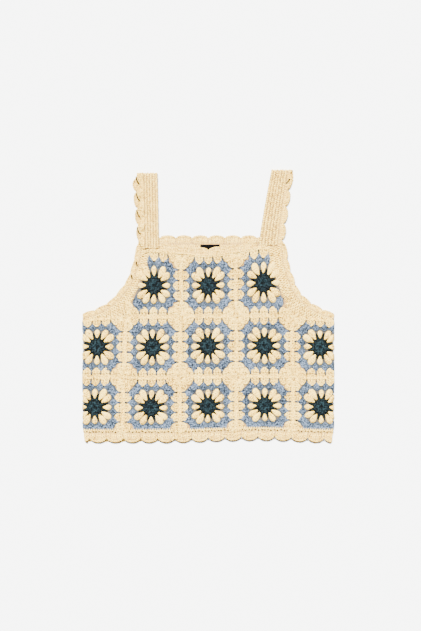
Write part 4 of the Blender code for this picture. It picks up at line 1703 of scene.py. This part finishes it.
            # Painted shadow in the armhole's gaps, and painted shade in the strap seam's grooves.
            for notch in self.notches:
                foot, head = (notch.across, notch.top), (notch.across + notch.slip, notch.bottom)
                spots.add(SHADOW_LINE, foot, head, self.notch_width, self.notch_level)
            for up in self.seam_heights:
                for i in range(self.seam_stitches):
                    foot, head = ((self.seam_start + self.seam_stitch * (i + part), up)
                                  for part in (0, 1))
                    spots.add(GROOVE_SHADOW, foot, head, self.seam_width, self.seam_level)
        web = self.armhole.web(name.replace("shells", "web"), stretch, CUT.lay_body)
        return [Yarn(self.radius, seed=45).work(name, spots, CREAM, CUT.lay_body), web]


# --- Straps -------------------------------------------------------------------------------------
@dataclass
class ShoulderStrap:
    """A strap of lengthwise rows, folded at the shoulder, with shells on its outer edge."""

    name: str
    side: int
    base_centre: float
    lean: float
    flare: float
    peek: float
    lift: float
    first_shell: float
    width: float = 29.0
    ribs: int = 6
    rib_width: float = 1.3
    shoulder: float = 238.4
    seam_gap: float = 0.15
    lean_bend: float = 1.2
    peek_rise: float = 18.0
    peek_span: float = 115.0
    shell_pitch: float = 29.8
    stitch_length: float = 4.0
    slip: float = 0.0
    slip_run: float = 28.0
    tuck_run: float = 6.0
    tuck: float = 0.0
    sway: float = 0.3
    sway_turns: tuple[float, float] = (1.9, 2.4)
    shells: Shells = Shells(0, 3.2, 10.7)
    # Painted shadow that the tucked front shells cast in the gaps: strands to a row, rows, reach,
    # spacing, width and level.
    gap_lines: int = 4
    gap_rows: int = 2
    gap_rise: float = 0.2
    gap_row: float = 1.3
    gap_width: float = 1.5
    gap_level: float = 0.1
    # Painted shade along a crease: its points, width and level.
    crease: tuple[Spot, ...] = ()
    crease_width: float = 1.3
    crease_level: float = 0.8
    backing_columns: int = 8
    backing_rows: int = 30
    backing_margin: float = 0.3
    backing_level: float = -0.1
    backing_thickness: float = 0.9

    @property
    def start(self) -> float:
        """Height of the front seam."""
        return CUT.front_seam + self.lift + self.seam_gap

    @property
    def turn(self) -> float:
        """Height at which the shoulder fold begins."""
        return self.shoulder + self.lift - CUT.fold_radius - CUT.half

    @property
    def front(self) -> float:
        """Length of the front half."""
        return self.turn - self.start

    @property
    def length(self) -> float:
        """Length of the whole strap."""
        return self.front + CUT.fold_length + self.turn - CUT.back_seam - self.seam_gap

    def lay(self, points: Array) -> Array:
        """Lay points of the strap down, folded at the shoulder.

        Args:
            points: Distance from the strap's centre line, length along it, and out.

        Returns:
            The places on the floor, in millimetres.
        """
        across, along, out = points.T
        past = along - self.front
        fade = np.clip(1 - past / CUT.fold_length, 0, 1)
        lowest = CUT.half - CUT.floor_gap
        out = np.clip(out, -CUT.half, lowest + (CUT.highest - lowest) * fade)
        beyond, z = CUT.folded(past, out)
        up = self.turn + beyond
        down = past - CUT.fold_length
        drift = self.peek * smooth(down / self.peek_rise) * np.clip(1 - down / self.peek_span, 0, 1)
        rise = np.clip((up - self.start) / (self.turn - self.start), 0, 1)
        widen = 1 + self.flare / self.width * (1 - rise)
        drift = np.where(down < 0, 0.0, drift)
        centre = self.base_centre + self.lean * rise**self.lean_bend + drift
        return stacked(self.side * (centre + across * widen), up, z)

    def lay_mirrored(self, points: Array) -> Array:
        """The same, for pieces worked as if on the right, so that faces keep their sides."""
        return self.lay(points * np.array([self.side, 1.0, 1.0]))

    def ribbing(self) -> Spots:
        """Lengthwise ribs that sway a little, every other one turned over.

        Returns:
            The stitches.
        """
        spots = Spots()
        along_turn, rib_turn = self.sway_turns
        for rib in range(self.ribs):
            across = (rib + 0.5) * self.width / self.ribs - self.width / 2
            shift = (rib % 2) * self.stitch_length / 2
            for i in range(int(self.length / self.stitch_length)):
                along = shift + i * self.stitch_length
                ends = [(across + self.sway * math.sin(along_turn * (i + end) + rib_turn * rib),
                         along + end * self.stitch_length) for end in (0, 1)]
                foot, head = ends if rib % 2 else ends[::-1]
                spots.add(GRAIN, foot, head, self.rib_width if rib % 2 else -self.rib_width)
        return spots

    def placing(self, along: float, reach: float) -> Spot:
        """From the shells' own lengths to the strap's cloth; the front shells are tucked in.

        Args:
            along: Length along the strap from its first shell.
            reach: Distance out of its edge.

        Returns:
            The place on the strap's cloth.
        """
        length = self.first_shell + along
        behind, slipped = (eased((length - self.front) / run)
                           for run in (CUT.fold_length + self.tuck_run, self.slip_run))
        reach -= self.tuck * (1 - behind)
        return self.side * (self.width / 2 + reach), length - self.slip * slipped

    def edging(self, stretch: Stretch) -> Spots:
        """The shells, painted shadow in the gaps beside tucked ones, and painted shade on the
        crease.

        Args:
            stretch: Where the shells go.

        Returns:
            The stitches.
        """
        spots = Spots()
        self.shells.work(spots, stretch)
        tucked = math.floor(self.front / self.shell_pitch) + 1 if self.tuck else 0
        # Painted shadow under the tucked front shells' lower edges.
        for shell in range(math.ceil(stretch.first), tucked):
            for i in range(self.gap_rows * self.gap_lines):
                row, line = divmod(i, self.gap_lines)
                foot, head = (
                    stretch.place(shell + share, float(self.shells.reach(share))
                                  + self.gap_rise + self.gap_row * row)
                    for share in (0.03 + 0.1 * line, 0.13 + 0.1 * line))
                spots.add(SHADOW_LINE, foot, head, self.gap_width, self.gap_level)
        # Painted shade along the crease.
        for ends in zip(self.crease[:-1], self.crease[1:]):
            foot, head = (self.placing(up - self.start - self.first_shell, reach)
                          for up, reach in ends)
            spots.add(SHADOW_LINE, foot, head, self.crease_width, self.crease_level)
        return spots

    def build(self) -> list[bpy.types.Object]:
        """Work the rows and the shells.

        Returns:
            The strap's stitched pieces.
        """
        first = (0.0 - self.first_shell) / self.shell_pitch
        last = (self.length + self.slip - self.first_shell) / self.shell_pitch
        stretch = Stretch(self.shell_pitch, first, last, self.placing)
        lay = self.lay_mirrored
        return [
            Yarn(1.0, seed=51).work(f"{self.name}_rows", self.ribbing(), CREAM, lay),
            Yarn(0.92, seed=53).work(f"{self.name}_shells", self.edging(stretch), CREAM, lay),
            self.shells.web(f"{self.name}_web", stretch, lay),
        ]

    def backing(self) -> bpy.types.Object:
        """The thin cloth that backs the rows.

        Returns:
            The piece.
        """
        half = self.width / 2 - self.backing_margin
        across = np.linspace(-half, half, self.backing_columns)
        down = self.front + CUT.fold_length
        lengths = np.concatenate([
            np.linspace(0, self.front, self.backing_rows, endpoint=False),
            np.linspace(self.front, down, FOLD_FACETS + 1),
            np.linspace(down, self.length, self.backing_rows)[1:],
        ])
        grid = stacked(across[:, None], lengths, self.backing_level)
        return sheet_mesh(f"{self.name}_cloth", grid, self.backing_thickness, False, None,
                          DEEP_SHADED_BACKING, self.lay_mirrored)


# --- Backing cloth ------------------------------------------------------------------------------
def sheet_mesh(name: str, grid: Array, thickness: float, closed: bool,
               cells: Array | None, finish: BackingCloth, lay: Lay) -> bpy.types.Object:
    """A thin closed shell over a grid of cloth places.

    Args:
        name: The piece's name.
        grid: Columns by rows by across, up and out of the shell's outer face.
        thickness: The shell's thickness, inwards.
        closed: Whether the last column joins the first.
        cells: Each place's position in its own square, or none.
        finish: The shell's finish.
        lay: Takes cloth places to places on the floor.

    Returns:
        The piece.
    """
    columns, rows = grid.shape[:2]
    under = grid - np.array([0, 0, thickness])
    verts = np.concatenate([grid.reshape(-1, 3), under.reshape(-1, 3)])
    index = np.arange(columns * rows).reshape(columns, rows)
    after = np.roll(index, -1, axis=0) if closed else index[1:]
    before = index if closed else index[:-1]
    shift = columns * rows
    outer = np.stack([before[:, :-1], after[:, :-1], after[:, 1:], before[:, 1:]], -1)
    faces = [outer.reshape(-1, 4), outer.reshape(-1, 4)[:, ::-1] + shift]
    rims = [(before[:, 0], after[:, 0], 1), (before[:, -1], after[:, -1], -1)]
    if not closed:
        rims += [(index[0, :-1], index[0, 1:], -1), (index[-1, :-1], index[-1, 1:], 1)]
    faces += [np.stack([a, a + shift, b + shift, b], -1)[:, ::flip] for a, b, flip in rims]
    mesh = bpy.data.meshes.new(name)
    mesh.from_pydata(verts.tolist(), [], np.concatenate(faces).tolist())
    if cells is not None:
        mark(mesh, "cell", np.concatenate([cells.reshape(-1, 3)] * 2))
    mesh.shade_smooth()
    mesh.materials.append(finish.material())
    return settled(name, mesh, lay, "cotton_cream")


@dataclass
class BodyCloth:
    """The thin cloth that backs the body's stitches, all round the tube."""

    paths: dict[int, ArmholePath]
    step: float = 5.0
    rows: int = 66
    outer: float = -0.35
    thickness: float = 0.5
    cut_margin: float = 5.0
    fold_room: float = 1.0
    hem_room: float = 1.0

    def top(self, across: float) -> float:
        """Height of the cloth's upper edge, in the edgings' valleys.

        Args:
            across: Distance across.

        Returns:
            The height.
        """
        across = float(CUT.wrapped(np.array([across]))[0])
        side, distance = (1 if across >= 0 else -1), abs(across)
        front = distance < CUT.side_line
        if not front:
            distance = 2 * CUT.side_line - distance
        path = self.paths[side]
        seam = CUT.front_seam if front else CUT.back_seam
        if distance < CUT.neck_half:
            return float(CUT.neckline(distance)) if front else seam
        if distance < path.reach_at(seam):
            return seam
        return float(np.interp(distance, path.points[:, 0], path.points[:, 1]))

    def columns(self) -> Array:
        """Distances across of the grid's columns, with each facet of the side folds.

        Returns:
            The distances, in order.
        """
        run = 2 * CUT.side_line
        regular = np.arange(-run, run, self.step)
        folds = [side * (CUT.fold_start + CUT.fold_length * i / FOLD_FACETS)
                 for side in (-1, 1) for i in range(FOLD_FACETS + 1)]
        clear = [a for a in regular if min(abs(a - f) for f in folds) > self.fold_room]
        return np.array(sorted(clear + folds))

    def cells(self, across: Array, up: Array) -> Array:
        """Each place's position in its own square, and whether the square is whole there.

        Args:
            across: Distances across of the grid's columns.
            up: Heights, columns by rows.

        Returns:
            Columns by rows by right, above and kept.
        """
        column = np.rint(across / CUT.pitch)
        bottoms, centres, tops = np.array(ROWS).T
        row = np.clip(np.digitize(up, tops), LOW, TOP)
        centre = centres[row]
        below = np.where(row == LOW, CUT.hem_band, centre - bottoms[row])
        y = (up - centre) / np.where(up > centre, tops[row] - centre, below) * SQUARE / 2
        x = (across - column * CUT.pitch)[:, None] / CUT.pitch * SQUARE
        cut = CUT.armhole_cut(np.minimum(up, ROWS[TOP].top)) - self.cut_margin
        back = abs(column)[:, None] >= 4
        return stacked(x, y, (row < TOP) | (abs(across)[:, None] < cut) | back)

    def build(self) -> bpy.types.Object:
        """Make the shell."""
        across = self.columns()
        tops = np.array([self.top(a) for a in across])
        low = ROWS[LOW].bottom - self.hem_room
        up = low + (tops[:, None] - low) * np.linspace(0, 1, self.rows)
        grid = stacked(across[:, None], up, self.outer)
        return sheet_mesh("body_cloth", grid, self.thickness, True, self.cells(across, up),
                          SHADED_BACKING, CUT.lay_body)


# --- Studio -------------------------------------------------------------------------------------
@dataclass
class Studio:
    """A pale floor, soft light from above and the camera that looks straight down."""

    aim: tuple[float, float] = (0.0039, -0.01640)
    height: float = 2.0
    view_width: float = 0.7518
    frame: tuple[int, int] = (421, 631)
    sensor: float = 36.0
    floor_size: float = 40.0
    fill: Colour = (0.95, 0.88, 0.78)
    backdrop: Colour = (6.6, 6.6, 6.5)
    lamp_spot: Point = (-0.4, 1.3, 2.2)
    lamp_spread: float = 0.34
    lamp_power: float = 26.0
    lamp_colour: Colour = (0.97, 0.99, 1.0)

    def build(self) -> None:
        """Make the floor, lights and camera."""
        self.build_floor()
        self.build_sky()
        self.build_lamp()
        self.build_camera()

    def build_floor(self) -> None:
        """The floor that the top lies on."""
        half = self.floor_size / 2
        mesh = bpy.data.meshes.new("floor")
        corners = ((-half, -half), (half, -half), (half, half), (-half, half))
        mesh.from_pydata([(x, y, 0.0) for x, y in corners], [], [(0, 1, 2, 3)])
        mesh.materials.append(Paper().material())
        linked("floor", mesh)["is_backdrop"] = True

    def build_sky(self) -> None:
        """Soft light all round, before a plain backdrop."""
        world = bpy.data.worlds.new("studio")
        bpy.context.scene.world = world
        world.use_nodes = True
        world.node_tree.nodes.clear()
        graph = Graph(world.node_tree)
        seen = graph.node("ShaderNodeLightPath", {}, {}, "Is Camera Ray")
        colour = graph.blend(seen, self.fill, self.backdrop)
        sky = graph.node("ShaderNodeBackground", {}, {"Color": colour, "Strength": 1.0})
        graph.add("ShaderNodeOutputWorld", {}, {"Surface": sky})

    def build_lamp(self) -> None:
        """A far lamp whose rays come from the side of a spot, spread by an angle."""
        light = bpy.data.lights.new("key", "SUN")
        light.angle = self.lamp_spread
        light.energy = self.lamp_power
        light.color = self.lamp_colour
        holder = linked("key", light)
        holder.location = self.lamp_spot
        holder.rotation_euler = Vector(self.lamp_spot).to_track_quat("Z", "Y").to_euler()

    def build_camera(self) -> None:
        """The camera, straight above."""
        camera = bpy.data.cameras.new("camera")
        camera.sensor_fit = "VERTICAL"
        camera.sensor_height = self.sensor
        view_height = self.view_width * self.frame[1] / self.frame[0]
        camera.lens = self.sensor * self.height / view_height
        holder = linked("camera", camera)
        holder.location = (*self.aim, self.height)
        bpy.context.scene.camera = holder


# --- The whole garment --------------------------------------------------------------------------
FRONT_COLUMNS = tuple((c, r) for r in (LOW, MID) for c in range(-2, 3)) + (
    (-1, TOP), (0, TOP), (1, TOP))
BACK_COLUMNS = tuple((c, r) for r in (LOW, MID) for c in (3, 4, 5, 6)) + ((4, TOP), (5, TOP))


def square_nodes(nodes: Iterable[str]) -> list[str]:
    """The solid nodes that the body's cloth stands for."""
    heads = ("square_", "gusset_", "back_band", "edging_hem", "edging_neck", "edging_armhole")
    return [name for name in nodes if name.startswith(heads)]


def main() -> None:
    """Load the frame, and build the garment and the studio."""
    logging.basicConfig(level=logging.INFO, format="%(name)s: %(message)s")
    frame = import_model()
    solid_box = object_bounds()
    Studio().build()
    paths = {side: ArmholePath(side) for side in (-1, 1)}
    stitched: list[bpy.types.Object] = []
    stitched += GrannySquares(Layer.FRONT, FRONT_COLUMNS).build()
    stitched += GrannySquares(Layer.BACK, BACK_COLUMNS).build()
    edgings = Edgings()
    for side, side_name in ((-1, "left"), (1, "right")):
        for layer in Layer:
            rows = ArmholeRows(paths[side], layer)
            stitched.append(rows.build(f"{layer.value}_rows_{side_name}"))
            stitched += edgings.build_armhole(
                paths[side], layer, f"{layer.value}_armhole_shells_{side_name}")
    stitched += edgings.build_hem()
    for layer in Layer:
        stitched += edgings.build_neck(layer)
    cloth = BodyCloth(paths).build()
    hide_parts(*square_nodes(frame["nodes"]))
    straps = (
        ShoulderStrap("left_strap", -1, 102.3, 2.7, 0.0, 6.5, 0.0, -3.4, slip=6.4, tuck=3.0,
                      shells=Shells(0, 3.2, 10.7, curl=1.9)),
        ShoulderStrap("right_strap", 1, 106.4, 20.0, 5.0, 2.5, 5.5, 10.4, slip=-12.3,
                      sway=0.55, crease=((218.4, 1.2), (222.4, 4.0), (226.6, 6.2))),
    )
    for strap in straps:
        pieces = strap.build()
        backing = strap.backing()
        side_name = strap.name.split("_")[0]
        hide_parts(f"strap_{side_name}", f"edging_strap_{side_name}")
        strap.width * MM
        strap.length * MM
    LabelTape().dress(bpy.data.objects["neck_label"])
    boxes = {"solids": solid_box, "visual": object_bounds()}
    {key: [list(corner) for corner in box] for key, box in boxes.items()}


if __name__ == "__main__":
    main()
